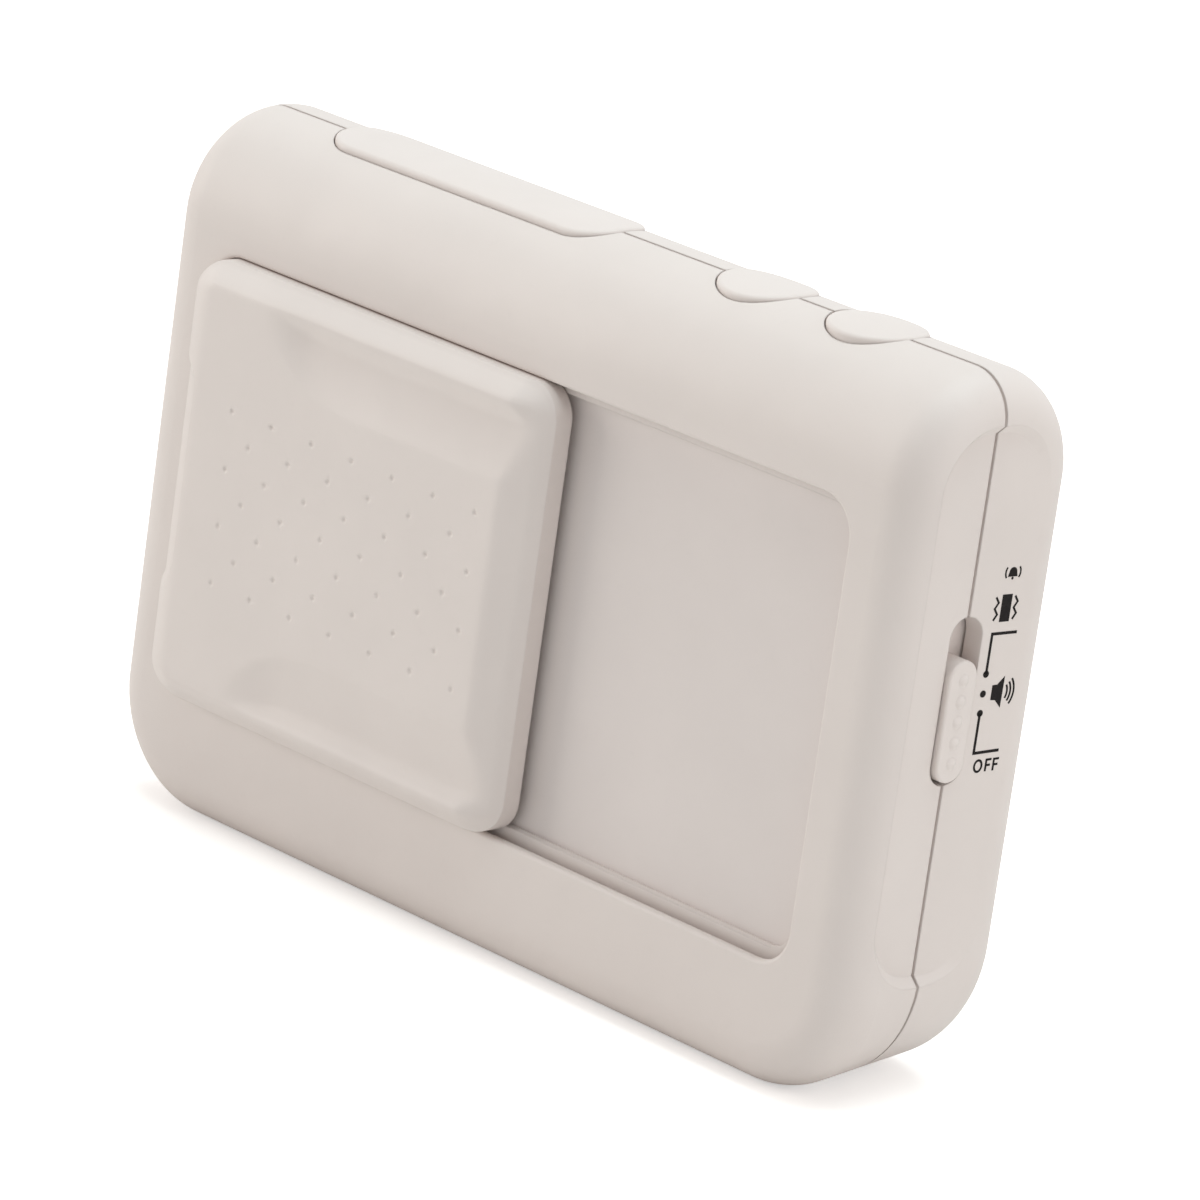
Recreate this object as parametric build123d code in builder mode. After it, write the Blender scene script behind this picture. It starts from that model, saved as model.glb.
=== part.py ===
from build123d import *
import os
from math import sqrt

os.makedirs("parts", exist_ok=True)

# Pocket alarm clock with a bed shaker motor. Lengths are in millimetres. X runs to the right seen from
# the front, Y to the back and Z up. The clock stands on Z = 0, centred on X and Y.
# A "depth" is a distance behind the flat front face of the case.

# Case
body_width = 113.0
body_height = 78.0
body_depth = 24.0
wall = 2.0
top_round = 11.9            # front and rear rounding of the top, nearly one half round
front_corner = 12.3         # lower corners at the front; they grow rounder towards the back
rear_corner = 17.0
edge_round = 5.0            # rounding of the two ends and of the bottom edges
split_depth = 11.0          # from the front face to the parting line
groove_width = 0.36         # groove along the parting line, half of it in each shell
groove_depth = 0.5
clearance = 0.3             # gap of the pieces that move
snug = 0.1                  # gap of the pieces that are only put in place
small_round = 0.3           # rounding of small sharp edges
overrun = 2.0               # how far cuts reach past the face that they open
seam_share = 0.6            # the seams between the faces around the case run over more than this share

# Recess of the front face, where the cover slides
recess_left = 8.35          # from the left end of the case
recess_right = 8.75         # from its right end
recess_low = 13.9
recess_below_top = 14.4
recess_corner = 4.2
lip_depth = 0.9             # lip that overhangs the cover's tracks
lip_round = 0.45
track_depth = 0.9
track_reach = 1.0           # how far a track reaches behind its lip
ledge_depth = 1.0           # thickness of the ledge behind the tracks
ledge_width = 1.1           # how much of the ledge shows inside the lip
frame_rim = 1.2             # wall around the tracks and around the display panel

# Sliding cover
cover_width = 55.6
cover_corner = 3.9
cover_proud = 3.4
cover_wall = 1.7
cover_rim_round = 1.9
bevel_width = 5.7           # slope down to the right edge
bevel_drop = 2.8
bevel_edge_round = 0.6
cover_gap = 0.3             # gap at the ends of the recess
rail_thick = 0.5
rail_reach = 0.7
rail_inset = 6.0            # from the cover's ends to the ends of its rails
scoop_radius = 7.8          # seen from the front, from its line to the flat middle
scoop_depth = 1.0
scoop_offset = 22.3         # from the cover's middle line to the line of a scoop
scoop_start = 21.4          # from the cover's left edge to the round end of a scoop
dimple_radius = 0.35
dimple_depth = 0.15
dimple_shift = (0.25, -0.1)  # the pattern is not quite in the middle of the cover
dimple_pitch_x = 6.35
dimple_pitch_z = 3.23
dimple_rows = 7
dimple_columns = 7
notch_width = 1.5           # finger notch along the left edge
notch_height = 25.0
notch_drop = 12.0           # from the cover's middle down to the notch's lower end
notch_depth = 0.45
notch_round = 1.4

# Side grip and the slot of the alarm slider
grip_depth = 1.0
grip_width = 15.9
grip_height = 59.5
grip_centre_depth = 11.2
grip_low = 13.5
grip_corner = 7.0
slot_width = 4.5
slot_length = 17.9
slot_low = 34.9
slider_length = 13.0
slider_travel = 4.0
slider_gap = 0.2            # around the knob in its slot
slider_proud = 0.7
slider_flange = 0.8
flange_margin = 1.2
bump_radius = 0.7
bump_height = 0.3
bump_pitch = 2.2
bump_count = 5
lever_width = 1.5
lever_socket = 3.2
lever_reach = 1.2

# Snooze bar and round buttons; their tops are flatter than the top of the case
cap_gap = 0.15              # around the caps in their openings
cap_rise = 0.2              # how far the middle of a cap stands above the case
cap_crown = 20.0            # radius of their curved tops
dome_rise = 0.65            # the same for the right button, which is a dome
dome_radius = 14.5          # from front to back
dome_roll = 22.0            # from left to right
cap_travel = 0.7
cap_edge_round = 0.5
cap_flange = 1.0            # how far a flange reaches out under the shell, and its thickness
snooze_length = 42.6
snooze_width = 10.4
snooze_corner = 4.6
snooze_x = -20.4
button_radius = 5.3
button_x = (21.4, 37.0)
stem_radius = 1.7

# Display panel and what lies behind it
panel_thick = 1.2
window_width = 33.0
window_height = 28.0
window_x = -28.0
window_ledge = 1.2
window_thick = 0.8
window_corner = 2.0
lcd_width = 37.0
lcd_height = 33.0
lcd_thick = 1.8
guide_thick = 1.5
zebra_height = 1.8
board_gap = 4.2             # from the back of the panel to the board
board_thick = 1.2
frame_wall = 1.4
led_size = (1.2, 0.8, 2.0)

# Main board
board_left_margin = 10.5    # from the left end of the case
board_right_margin = 5.5    # from its right end
board_low = 15.5
board_below_top = 13.8
board_step_x = 12.0         # the board's lower right corner is cut out for the motor
board_step_z = 34.0
board_post_radius = 2.4
middle_posts = (-4.0, 22.1, 3.6)   # X, and how far inside the lower and upper edge of the recess
right_posts = (4.75, 24.1, 6.6)    # how far inside the right, lower and upper edge of the recess
board_screw_radius = 1.0
board_screw_head = 1.9
board_screw_head_height = 1.2
board_screw_length = 3.6
chip_radius = 5.5
chip_height = 1.6
chip_place = (-26.0, 46.0)
crystal_radius = 1.0
crystal_length = 6.0
crystal_place = (8.0, 44.0)
capacitor_radius = 2.5
capacitor_height = 6.0
capacitor_place = (18.0, 44.0)
resistor_size = (2.0, 0.6, 1.2)
resistor_place = (27.0, 40.0)
resistor_pitch = 3.0
resistor_count = 5
tact_width = 6.0
tact_depth = 3.6
tact_height = 4.2
plunger_radius = 1.4
plunger_proud = 1.2
plunger_room = 1.4
switch_height = 9.6
switch_depth = 3.2
switch_width = 4.6

# Motor and its eccentric weight
motor_radius = 7.2
motor_length = 19.0
motor_x = 15.0
motor_z = 21.0
motor_depth = 12.4
motor_cap_length = 1.4
motor_cap_inset = 0.8
motor_boss_radius = 2.5
motor_boss_length = 1.3
shaft_radius = 1.0
shaft_reach = 9.6
weight_radius = 7.0
weight_length = 6.5
weight_hub = 2.4
weight_gap = 0.6
cradle_thick = 1.6
cradle_inset = 2.6
cradle_wing = 1.6
strap_width = 6.0
strap_thick = 0.8
strap_ear = 5.2
strap_boss_radius = 2.5
strap_screw_radius = 1.0
strap_screw_head = 1.9
strap_screw_head_height = 1.2
strap_screw_length = 6.0

# Buzzer
buzzer_radius = 11.0
buzzer_thick = 3.2
buzzer_x = -24.0
buzzer_z = 49.0
buzzer_ring = 1.2
buzzer_pad_thick = 0.6
buzzer_step = 1.0
buzzer_mouth_radius = 5.0
sound_hole_radius = 0.8
sound_hole_circle = 5.0
sound_hole_count = 8

# Cells, their pocket and the battery door
cell_radius = 5.25
cell_length = 43.7
nub_radius = 1.9
nub_length = 0.8
cell_pitch = 11.6
cell_depth = 16.6
cell_low_z = 12.9
cell_left_x = -41.3
pocket_wall = 1.2
pocket_left = 2.5           # room for the contacts at the left end
pocket_right = 5.6          # room for the leaf contacts at the right end
pocket_below = 0.65         # gap between a cell and the pocket's long walls
pocket_floor_gap = 0.15
contact_thick = 0.4
contact_width = 6.4
contact_height = 6.0
door_thick = 1.8
door_lip_left = 0.8
door_lip_right = 2.2
door_lip_long = 1.6
door_corner = 2.0
tab_length = 1.6
tab_width = 6.0
tab_thick = 1.0
tab_drop = 0.4
thumb_notch_length = 18.0   # thumb notch beside the battery door
thumb_notch_depth = 0.8
thumb_notch_reach = 4.0
door_groove_length = 9.0    # grip grooves at the left end of the door
door_groove_width = 0.4
door_groove_depth = 0.3
door_groove_pitch = 1.4
door_groove_count = 3

# Case screws and their posts
low_posts = (9.0, 9.5)      # from the end of the case and from the floor
high_posts = (7.0, 10.5)    # from the end of the case and from its top
post_radius = 2.4
post_root = 1.4
tube_radius = 3.5
head_radius = 2.1
head_height = 1.4
head_bore_gap = 0.3
head_seat_depth = 18.0
screw_radius = 1.15
screw_length = 11.0
pilot_gap = 0.08
pilot_depth = 5.5

# Places that follow from the sizes above
front_y = (cover_proud - body_depth) / 2
parting_y = front_y + split_depth
middle_y = front_y + body_depth / 2
side_x = body_width / 2
recess_width = body_width - recess_left - recess_right
recess_x = (recess_left - recess_right) / 2
recess_high = body_height - recess_below_top
recess_z = (recess_low + recess_high) / 2
recess_height = recess_high - recess_low
ledge_front = lip_depth + track_depth
panel_front = ledge_front + ledge_depth
panel_back = panel_front + panel_thick
lcd_back = panel_back + lcd_thick
board_front = panel_back + board_gap
board_back = board_front + board_thick
cover_back = ledge_front - (track_depth - rail_thick) / 2
cover_height = recess_height - 2 * clearance
cover_left = recess_x - recess_width / 2 + cover_gap
cover_x = cover_left + cover_width / 2
cover_right = cover_left + cover_width
inner_back = body_depth - wall
board_left = board_left_margin - side_x
board_right = side_x - board_right_margin
board_high = body_height - board_below_top
board_posts = [
    (post_x, post_z)
    for post_x, above, below in (middle_posts, (side_x - recess_right - right_posts[0], *right_posts[1:]))
    for post_z in (recess_low + above, recess_high - below)
]


def depth(distance):
    """The Y of a place that lies this far behind the front face."""
    return front_y + distance


def facing(distance):
    """A plane at this depth that looks to the front; its own axes are X and Z."""
    return Plane.XZ.offset(-depth(distance))


def corner_cutter(side, inset):
    """What the lower corner on this side loses: a rounding that grows towards the back."""
    half = body_width / 2 - inset
    with BuildPart() as cutter:
        for distance, corner in ((inset, front_corner), (body_depth - inset, rear_corner)):
            radius = corner - inset
            bulge = radius * (1 - sqrt(0.5))
            with BuildSketch(facing(distance)):
                with BuildLine():
                    Polyline(
                        (side * (half - radius), inset),
                        (side * (half - radius), inset - overrun),
                        (side * (half + overrun), inset - overrun),
                        (side * (half + overrun), inset + radius),
                        (side * half, inset + radius),
                    )
                    ThreePointArc(
                        (side * half, inset + radius),
                        (side * (half - bulge), inset + bulge),
                        (side * (half - radius), inset),
                    )
                make_face()
        loft(ruled=True)
    return cutter.part


def body_form(inset):
    """The outer form of the closed case, shrunk by inset on every side."""
    cutters = [corner_cutter(side, inset) for side in (-1, 1)]
    with BuildPart() as form:
        with BuildSketch(facing(body_depth - inset)):
            with Locations((0, body_height / 2)):
                Rectangle(body_width - 2 * inset, body_height - 2 * inset)
        extrude(amount=body_depth - 2 * inset)
        for cutter in cutters:
            add(cutter, mode=Mode.SUBTRACT)
        long_edges = form.edges().filter_by(Axis.X).group_by(Axis.Z)[-1]
        fillet(long_edges, top_round - inset)
        seams = form.edges().filter_by(Axis.X).filter_by_position(Axis.Z, body_height / 2, body_height)
        seams += form.edges().filter_by(lambda edge: edge.bounding_box().size.Y > seam_share * body_depth)
        rim = [edge for edge in form.edges() if edge not in seams]
        fillet(rim, edge_round - inset)
    return form.part


def grip_form(shift, grow):
    """The pocket of the side grip, moved inwards by shift and grown by grow."""
    floor_x = side_x - grip_depth - shift
    reach = grip_depth + shift + overrun
    centre = (depth(grip_centre_depth), grip_low + grip_height / 2)
    with BuildPart() as pocket:
        for x, spread in ((floor_x, grow - grip_depth), (floor_x + reach, grow - grip_depth + reach)):
            with BuildSketch(Plane.YZ.offset(x)):
                with Locations(centre):
                    RectangleRounded(grip_width + 2 * spread, grip_height + 2 * spread, grip_corner + spread)
        loft(ruled=True)
    return pocket.part


def recess_rectangle(grow):
    """The outline of the recess, grown on every side."""
    with Locations((recess_x, recess_z)):
        RectangleRounded(recess_width + 2 * grow, recess_height + 2 * grow, recess_corner + grow)


outer_form = body_form(0)
cavity_form = body_form(wall)
grip_pocket = grip_form(0, 0)
grip_backing = grip_form(wall, wall)
post_places = [
    (side * (side_x - end), z)
    for side in (-1, 1)
    for end, z in (low_posts, (high_posts[0], body_height - high_posts[1]))
]
cell_places = [cell_low_z, cell_low_z + cell_pitch]
pocket_x0 = cell_left_x - pocket_left
pocket_x1 = cell_left_x + cell_length + nub_length + pocket_right
pocket_z0 = cell_places[0] - cell_radius - pocket_below
pocket_z1 = cell_places[1] + cell_radius + pocket_below
pocket_front = cell_depth - cell_radius - pocket_floor_gap
door_x0 = pocket_x0 + door_lip_left
door_x1 = pocket_x1 - door_lip_right
door_z0 = pocket_z0 + door_lip_long
door_z1 = pocket_z1 - door_lip_long
slot_z = slot_low + slot_length / 2
motor_x1 = motor_x + motor_length
motor_y = depth(motor_depth)


def cap_outlines(grow):
    """The outlines of the snooze bar and the round buttons, seen from above."""
    with Locations((snooze_x, middle_y)):
        RectangleRounded(snooze_length + 2 * grow, snooze_width + 2 * grow, snooze_corner + grow)
    with Locations(*[(x, middle_y) for x in button_x]):
        Circle(button_radius + grow)


# Both shells share the outer form, the side grip, the parting groove, the slot and the openings of the top
with BuildPart() as case:
    add(outer_form)
    add(grip_pocket, mode=Mode.SUBTRACT)

with BuildPart() as cavity:
    add(cavity_form)
    add(grip_backing, mode=Mode.SUBTRACT)

with BuildPart() as groove_floor:
    add(body_form(groove_depth))
    add(grip_form(groove_depth, groove_depth), mode=Mode.SUBTRACT)

with BuildPart() as groove:
    with BuildSketch(facing(split_depth + groove_width / 2)):
        with Locations((0, body_height / 2)):
            Rectangle(body_width + overrun, body_height + overrun)
    extrude(amount=groove_width)
    add(groove_floor.part, mode=Mode.SUBTRACT)

with BuildPart() as openings:
    with BuildSketch(Plane.XY.offset(body_height - top_round)):
        cap_outlines(cap_gap)
    extrude(amount=top_round + overrun)
    with BuildSketch(Plane.YZ.offset(side_x - grip_depth - wall - overrun)):
        with Locations((parting_y, slot_z)):
            SlotOverall(slot_length, slot_width, rotation=90)
    extrude(amount=2 * overrun + wall + grip_depth)

# Front shell: the recess with its lip, tracks and ledge, and the posts for the case screws
with BuildPart() as front_shell:
    add(case.part)
    split(bisect_by=Plane.XZ.offset(-parting_y), keep=Keep.TOP)
    add(groove.part, mode=Mode.SUBTRACT)
    add(cavity.part, mode=Mode.SUBTRACT)
    frame_grow = track_reach + frame_rim
    with BuildSketch(facing(panel_back)):
        recess_rectangle(frame_grow + frame_rim)
    extrude(amount=panel_back - wall / 2)
    with BuildSketch(facing(split_depth)):
        with Locations(*post_places):
            Circle(post_radius)
    extrude(amount=split_depth - post_root)
    with BuildSketch(facing(panel_back)):
        recess_rectangle(frame_grow + snug)
    extrude(amount=panel_back - panel_front, mode=Mode.SUBTRACT)
    with BuildSketch(facing(panel_front)):
        recess_rectangle(-ledge_width)
    extrude(amount=panel_front + overrun, mode=Mode.SUBTRACT)
    with BuildSketch(facing(ledge_front)):
        with Locations((recess_x, recess_z)):
            RectangleRounded(recess_width, recess_height + 2 * track_reach, recess_corner)
    extrude(amount=track_depth, mode=Mode.SUBTRACT)
    with BuildSketch(facing(lip_depth)):
        recess_rectangle(0)
    extrude(amount=lip_depth + overrun, mode=Mode.SUBTRACT)
    lip = front_shell.faces().filter_by(Axis.Y).sort_by(Axis.Y)[0].inner_wires()[0].edges()
    fillet(lip, lip_round)
    with BuildSketch(facing(split_depth)):
        with Locations(*post_places):
            Circle(screw_radius + pilot_gap)
    extrude(amount=pilot_depth, mode=Mode.SUBTRACT)
    add(openings.part, mode=Mode.SUBTRACT)
front_shell.part.label = "front_shell"
export_step(front_shell.part, "parts/front_shell.step")

# Rear shell: screw tubes, battery pocket, motor cradle, buzzer ring and sound holes
with BuildPart() as rear_shell:
    add(case.part)
    split(bisect_by=Plane.XZ.offset(-parting_y), keep=Keep.BOTTOM)
    add(groove.part, mode=Mode.SUBTRACT)
    add(cavity.part, mode=Mode.SUBTRACT)
    with BuildSketch(facing(inner_back + wall / 2)):
        with Locations(*post_places):
            Circle(tube_radius)
    extrude(amount=inner_back + wall / 2 - split_depth)
    with BuildSketch(facing(body_depth + overrun)):
        with Locations(*post_places):
            Circle(head_radius + head_bore_gap)
    extrude(amount=body_depth + overrun - head_seat_depth, mode=Mode.SUBTRACT)
    with BuildSketch(facing(head_seat_depth)):
        with Locations(*post_places):
            Circle(screw_radius + clearance)
    extrude(amount=head_seat_depth - split_depth, mode=Mode.SUBTRACT)
    # battery pocket, closed towards the board
    with BuildSketch(facing(inner_back + wall / 2)):
        with Locations(((pocket_x0 + pocket_x1) / 2, (pocket_z0 + pocket_z1) / 2)):
            Rectangle(pocket_x1 - pocket_x0 + 2 * pocket_wall, pocket_z1 - pocket_z0 + 2 * pocket_wall)
    extrude(amount=inner_back + wall / 2 - pocket_front + pocket_wall)
    with BuildSketch(facing(inner_back)):
        with Locations(((pocket_x0 + pocket_x1) / 2, (pocket_z0 + pocket_z1) / 2)):
            Rectangle(pocket_x1 - pocket_x0, pocket_z1 - pocket_z0)
    extrude(amount=inner_back - pocket_front, mode=Mode.SUBTRACT)
    with BuildSketch(facing(body_depth + overrun)) as door_opening:
        with Locations(((door_x0 + door_x1) / 2, (door_z0 + door_z1) / 2)):
            Rectangle(door_x1 - door_x0, door_z1 - door_z0)
        fillet(door_opening.vertices().group_by(Axis.X)[0], door_corner)
    extrude(amount=wall + 2 * overrun, mode=Mode.SUBTRACT)
    # thumb notch at the left end of the battery door
    with BuildSketch(facing(body_depth + overrun)):
        with Locations((door_x0, (door_z0 + door_z1) / 2)):
            Ellipse(thumb_notch_reach, thumb_notch_length / 2)
    extrude(amount=overrun + thumb_notch_depth, mode=Mode.SUBTRACT)
    # two ribs that cradle the motor can
    cradle_height = 2 * (motor_radius + cradle_wing)
    for x in (motor_x + cradle_inset, motor_x1 - cradle_inset - cradle_thick):
        with BuildSketch(Plane.YZ.offset(x)):
            with Locations(((motor_y + depth(inner_back + wall / 2)) / 2, motor_z)):
                Rectangle(inner_back + wall / 2 - motor_depth, cradle_height)
            with Locations((motor_y, motor_z)):
                Circle(motor_radius + snug, mode=Mode.SUBTRACT)
        extrude(amount=cradle_thick)
    # bosses for the motor strap
    strap_x = motor_x + motor_length / 2
    strap_z = motor_radius + strap_ear / 2 + strap_thick
    strap_places = [(strap_x, motor_z - strap_z), (strap_x, motor_z + strap_z)]
    with BuildSketch(facing(inner_back + wall / 2)):
        with Locations(*strap_places):
            Circle(strap_boss_radius)
    extrude(amount=inner_back + wall / 2 - motor_depth)
    with BuildSketch(facing(motor_depth)):
        with Locations(*strap_places):
            Circle(strap_screw_radius + pilot_gap)
    extrude(amount=-strap_screw_length, mode=Mode.SUBTRACT)
    # ring that holds the buzzer, and its sound holes
    with BuildSketch(facing(inner_back + wall / 2)):
        with Locations((buzzer_x, buzzer_z)):
            Circle(buzzer_radius + snug + buzzer_ring)
            Circle(buzzer_radius + snug, mode=Mode.SUBTRACT)
    extrude(amount=wall / 2 + buzzer_pad_thick + buzzer_thick)
    with BuildSketch(facing(body_depth + overrun)):
        with Locations((buzzer_x, buzzer_z)):
            Circle(sound_hole_radius)
            with PolarLocations(sound_hole_circle, sound_hole_count):
                Circle(sound_hole_radius)
    extrude(amount=wall + 2 * overrun, mode=Mode.SUBTRACT)
    add(openings.part, mode=Mode.SUBTRACT)
rear_shell.part.label = "rear_shell"
export_step(rear_shell.part, "parts/rear_shell.step")


def cover_form(inset):
    """The cover as a solid with its rounded rim and right bevel, shrunk by inset but open at the back."""
    front = -cover_proud + inset
    with BuildPart() as form:
        with BuildSketch(facing(cover_back)):
            with Locations((cover_x, recess_z)):
                RectangleRounded(cover_width - 2 * inset, cover_height - 2 * inset, cover_corner - inset)
        extrude(amount=cover_back - front)
        fillet(form.faces().sort_by(Axis.Y)[0].edges(), cover_rim_round - inset)
        slope = bevel_drop / bevel_width
        lean = inset * (sqrt(1 + slope**2) - 1)
        start = cover_right - bevel_width - lean / slope
        with BuildSketch(Plane.XY.offset(recess_low)):
            with BuildLine():
                Polyline(
                    (start, depth(front)),
                    (cover_right + overrun, depth(front) + slope * (cover_right + overrun - start)),
                    (cover_right + overrun, depth(front) - overrun),
                    (start, depth(front) - overrun),
                    close=True,
                )
            make_face()
        extrude(amount=recess_height, mode=Mode.SUBTRACT)
    return form.part


# Sliding cover: finger scoops above and below the dimpled middle, bevel on the right, rails behind
cover_outer = cover_form(0)
cover_inner = cover_form(cover_wall)
cover_notched = cover_form(notch_depth)
with BuildPart() as notch_skin:
    with BuildSketch(facing(cover_back)):
        with Locations((cover_left, recess_z - notch_drop + notch_height / 2)):
            RectangleRounded(2 * notch_width, notch_height, notch_round)
    extrude(amount=cover_back + cover_proud + overrun)
    add(cover_notched, mode=Mode.SUBTRACT)

with BuildPart() as sliding_cover:
    add(cover_outer)
    bevel_edges = sliding_cover.edges().filter_by(Axis.Z).group_by(Axis.X)[-1]
    fillet(bevel_edges, bevel_edge_round)
    scoop_curve = (scoop_radius**2 + scoop_depth**2) / (2 * scoop_depth)
    for side in (1, -1):
        line_z = recess_z + side * scoop_offset
        front = depth(-cover_proud)
        with BuildSketch(Plane.YZ.offset(cover_left + scoop_start)) as scoop:
            with BuildLine():
                Line((front - overrun, line_z), (front + scoop_depth, line_z))
                arc_end = (front - overrun, line_z - side * scoop_radius)
                bend = ThreePointArc(
                    (front + scoop_depth, line_z),
                    (
                        front + scoop_depth - scoop_curve + sqrt(scoop_curve**2 - scoop_radius**2 / 4),
                        line_z - side * scoop_radius / 2,
                    ),
                    (front, line_z - side * scoop_radius),
                )
                Line(bend @ 1, arc_end)
                Line(arc_end, (front - overrun, line_z))
            make_face()
        extrude(amount=cover_width, mode=Mode.SUBTRACT)
        pivot = Axis((cover_left + scoop_start, front, line_z), (0, side, 0))
        revolve(scoop.sketch, pivot, revolution_arc=90, mode=Mode.SUBTRACT)
    with BuildSketch(facing(-cover_proud)):
        for row in range(dimple_rows):
            count = dimple_columns - row % 2
            row_z = recess_z + dimple_shift[1] + (row - (dimple_rows - 1) / 2) * dimple_pitch_z
            with Locations((cover_x + dimple_shift[0], row_z)):
                with GridLocations(dimple_pitch_x, 0, count, 1):
                    Circle(dimple_radius)
    extrude(amount=-dimple_depth, mode=Mode.SUBTRACT)
    add(notch_skin.part, mode=Mode.SUBTRACT)
    add(cover_inner, mode=Mode.SUBTRACT)
    with BuildSketch(facing(cover_back)):
        with Locations((cover_x, recess_z)):
            Rectangle(cover_width - 2 * rail_inset, cover_height + 2 * (clearance + rail_reach))
            Rectangle(cover_width, cover_height - 2 * cover_wall, mode=Mode.SUBTRACT)
    extrude(amount=rail_thick)
sliding_cover.part.label = "sliding_cover"
export_step(sliding_cover.part, "parts/sliding_cover.step")


def window_outline(grow):
    """The outline of the window's opening, grown on every side."""
    with Locations((window_x, recess_z)):
        RectangleRounded(window_width + 2 * grow, window_height + 2 * grow, window_corner + grow)


# Display panel: the flat floor of the recess, with the window and the posts for the board
with BuildPart() as display_panel:
    with BuildSketch(facing(panel_back)):
        recess_rectangle(frame_grow)
    extrude(amount=panel_thick)
    with BuildSketch(facing(board_front)):
        with Locations(*board_posts):
            Circle(board_post_radius)
    extrude(amount=board_gap)
    with BuildSketch(facing(panel_back)):
        window_outline(0)
    extrude(amount=panel_thick, mode=Mode.SUBTRACT)
    with BuildSketch(facing(panel_front)):
        window_outline(window_ledge)
    extrude(amount=-window_thick, mode=Mode.SUBTRACT)
    with BuildSketch(facing(board_front)):
        with Locations(*board_posts):
            Circle(board_screw_radius + pilot_gap)
    extrude(amount=board_gap, mode=Mode.SUBTRACT)
display_panel.part.label = "display_panel"
export_step(display_panel.part, "parts/display_panel.step")

# Clear window, let into the panel
with BuildPart() as display_window:
    with BuildSketch(facing(panel_front + window_thick)):
        window_outline(window_ledge - snug)
    extrude(amount=window_thick)
display_window.part.label = "display_window"
export_step(display_window.part, "parts/display_window.step")

# Liquid crystal glass: a rear plate and a slightly lower front plate, which leaves the contact edge free
with BuildPart() as lcd_glass:
    with BuildSketch(facing(lcd_back)):
        with Locations((window_x, recess_z)):
            Rectangle(lcd_width, lcd_height)
    extrude(amount=lcd_thick / 2)
    with BuildSketch(facing(lcd_back - lcd_thick / 2)):
        with Locations((window_x, recess_z)):
            Rectangle(lcd_width, lcd_height - 2 * zebra_height)
    extrude(amount=lcd_thick / 2)
lcd_glass.part.label = "lcd_glass"
export_step(lcd_glass.part, "parts/lcd_glass.step")

# Light guide behind the glass
guide_height = lcd_height - 2 * (zebra_height + clearance)
with BuildPart() as light_guide:
    with BuildSketch(facing(lcd_back + guide_thick)):
        with Locations((window_x, recess_z)):
            Rectangle(lcd_width - 2 * clearance, guide_height)
    extrude(amount=guide_thick)
light_guide.part.label = "light_guide"
export_step(light_guide.part, "parts/light_guide.step")

# Two conductive rubber strips between the glass and the board
with BuildPart() as zebra_strips:
    with BuildSketch(facing(board_front)):
        with Locations((window_x, recess_z)):
            with GridLocations(0, lcd_height - zebra_height, 1, 2):
                Rectangle(lcd_width - 2 * clearance, zebra_height)
    extrude(amount=board_front - lcd_back)
zebra_strips.part.label = "zebra_strips"
export_step(zebra_strips.part, "parts/zebra_strips.step")

# Frame that locates the glass between the panel and the board
with BuildPart() as lcd_frame:
    with BuildSketch(facing(board_front)):
        with Locations((window_x, recess_z)):
            Rectangle(lcd_width + 2 * (snug + frame_wall), lcd_height + 2 * (snug + frame_wall))
            Rectangle(lcd_width + 2 * snug, lcd_height + 2 * snug, mode=Mode.SUBTRACT)
    extrude(amount=board_gap)
lcd_frame.part.label = "lcd_frame"
export_step(lcd_frame.part, "parts/lcd_frame.step")

# Main board with a corner cut out for the motor and holes for its screws
with BuildPart() as main_board:
    with BuildSketch(facing(board_back)):
        with BuildLine():
            Polyline(
                (board_left, board_low),
                (board_step_x, board_low),
                (board_step_x, board_step_z),
                (board_right, board_step_z),
                (board_right, board_high),
                (board_left, board_high),
                close=True,
            )
        make_face()
        with Locations(*board_posts):
            Circle(board_screw_radius + snug, mode=Mode.SUBTRACT)
    extrude(amount=board_thick)
main_board.part.label = "main_board"
export_step(main_board.part, "parts/main_board.step")

# Board screws
with BuildPart() as board_screws:
    with BuildSketch(facing(board_back)):
        with Locations(*board_posts):
            Circle(board_screw_head)
    extrude(amount=-board_screw_head_height)
    with BuildSketch(facing(board_back)):
        with Locations(*board_posts):
            Circle(board_screw_radius)
    extrude(amount=board_screw_length)
board_screws.part.label = "board_screws"
export_step(board_screws.part, "parts/board_screws.step")

# Backlight lamp at the right edge of the light guide
with BuildPart() as backlight_led:
    led_x = window_x + lcd_width / 2 - led_size[0]
    with BuildSketch(facing(board_front)):
        with Locations((led_x, recess_z)):
            Rectangle(led_size[0], led_size[2])
    extrude(amount=board_front - lcd_back - guide_thick - snug)
backlight_led.part.label = "backlight_led"
export_step(backlight_led.part, "parts/backlight_led.step")

# Drop of resin over the clock chip
with BuildPart() as chip_blob:
    blob_curve = (chip_radius**2 + chip_height**2) / (2 * chip_height)
    with BuildSketch(Plane.XY.offset(chip_place[1])) as blob:
        with BuildLine():
            base = Line((chip_place[0], depth(board_back)), (chip_place[0] + chip_radius, depth(board_back)))
            ThreePointArc(
                base @ 1,
                (
                    chip_place[0] + chip_radius / 2,
                    depth(board_back) + chip_height - blob_curve + sqrt(blob_curve**2 - chip_radius**2 / 4),
                ),
                (chip_place[0], depth(board_back) + chip_height),
            )
            Line((chip_place[0], depth(board_back) + chip_height), base @ 0)
        make_face()
    revolve(axis=Axis((chip_place[0], 0, chip_place[1]), (0, 1, 0)))
chip_blob.part.label = "chip_blob"
export_step(chip_blob.part, "parts/chip_blob.step")

# Quartz crystal, lying on the board
with BuildPart() as crystal:
    with BuildSketch(Plane.XY.offset(crystal_place[1])):
        with Locations((crystal_place[0], depth(board_back) + crystal_radius)):
            Circle(crystal_radius)
    extrude(amount=crystal_length)
crystal.part.label = "crystal"
export_step(crystal.part, "parts/crystal.step")

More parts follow.
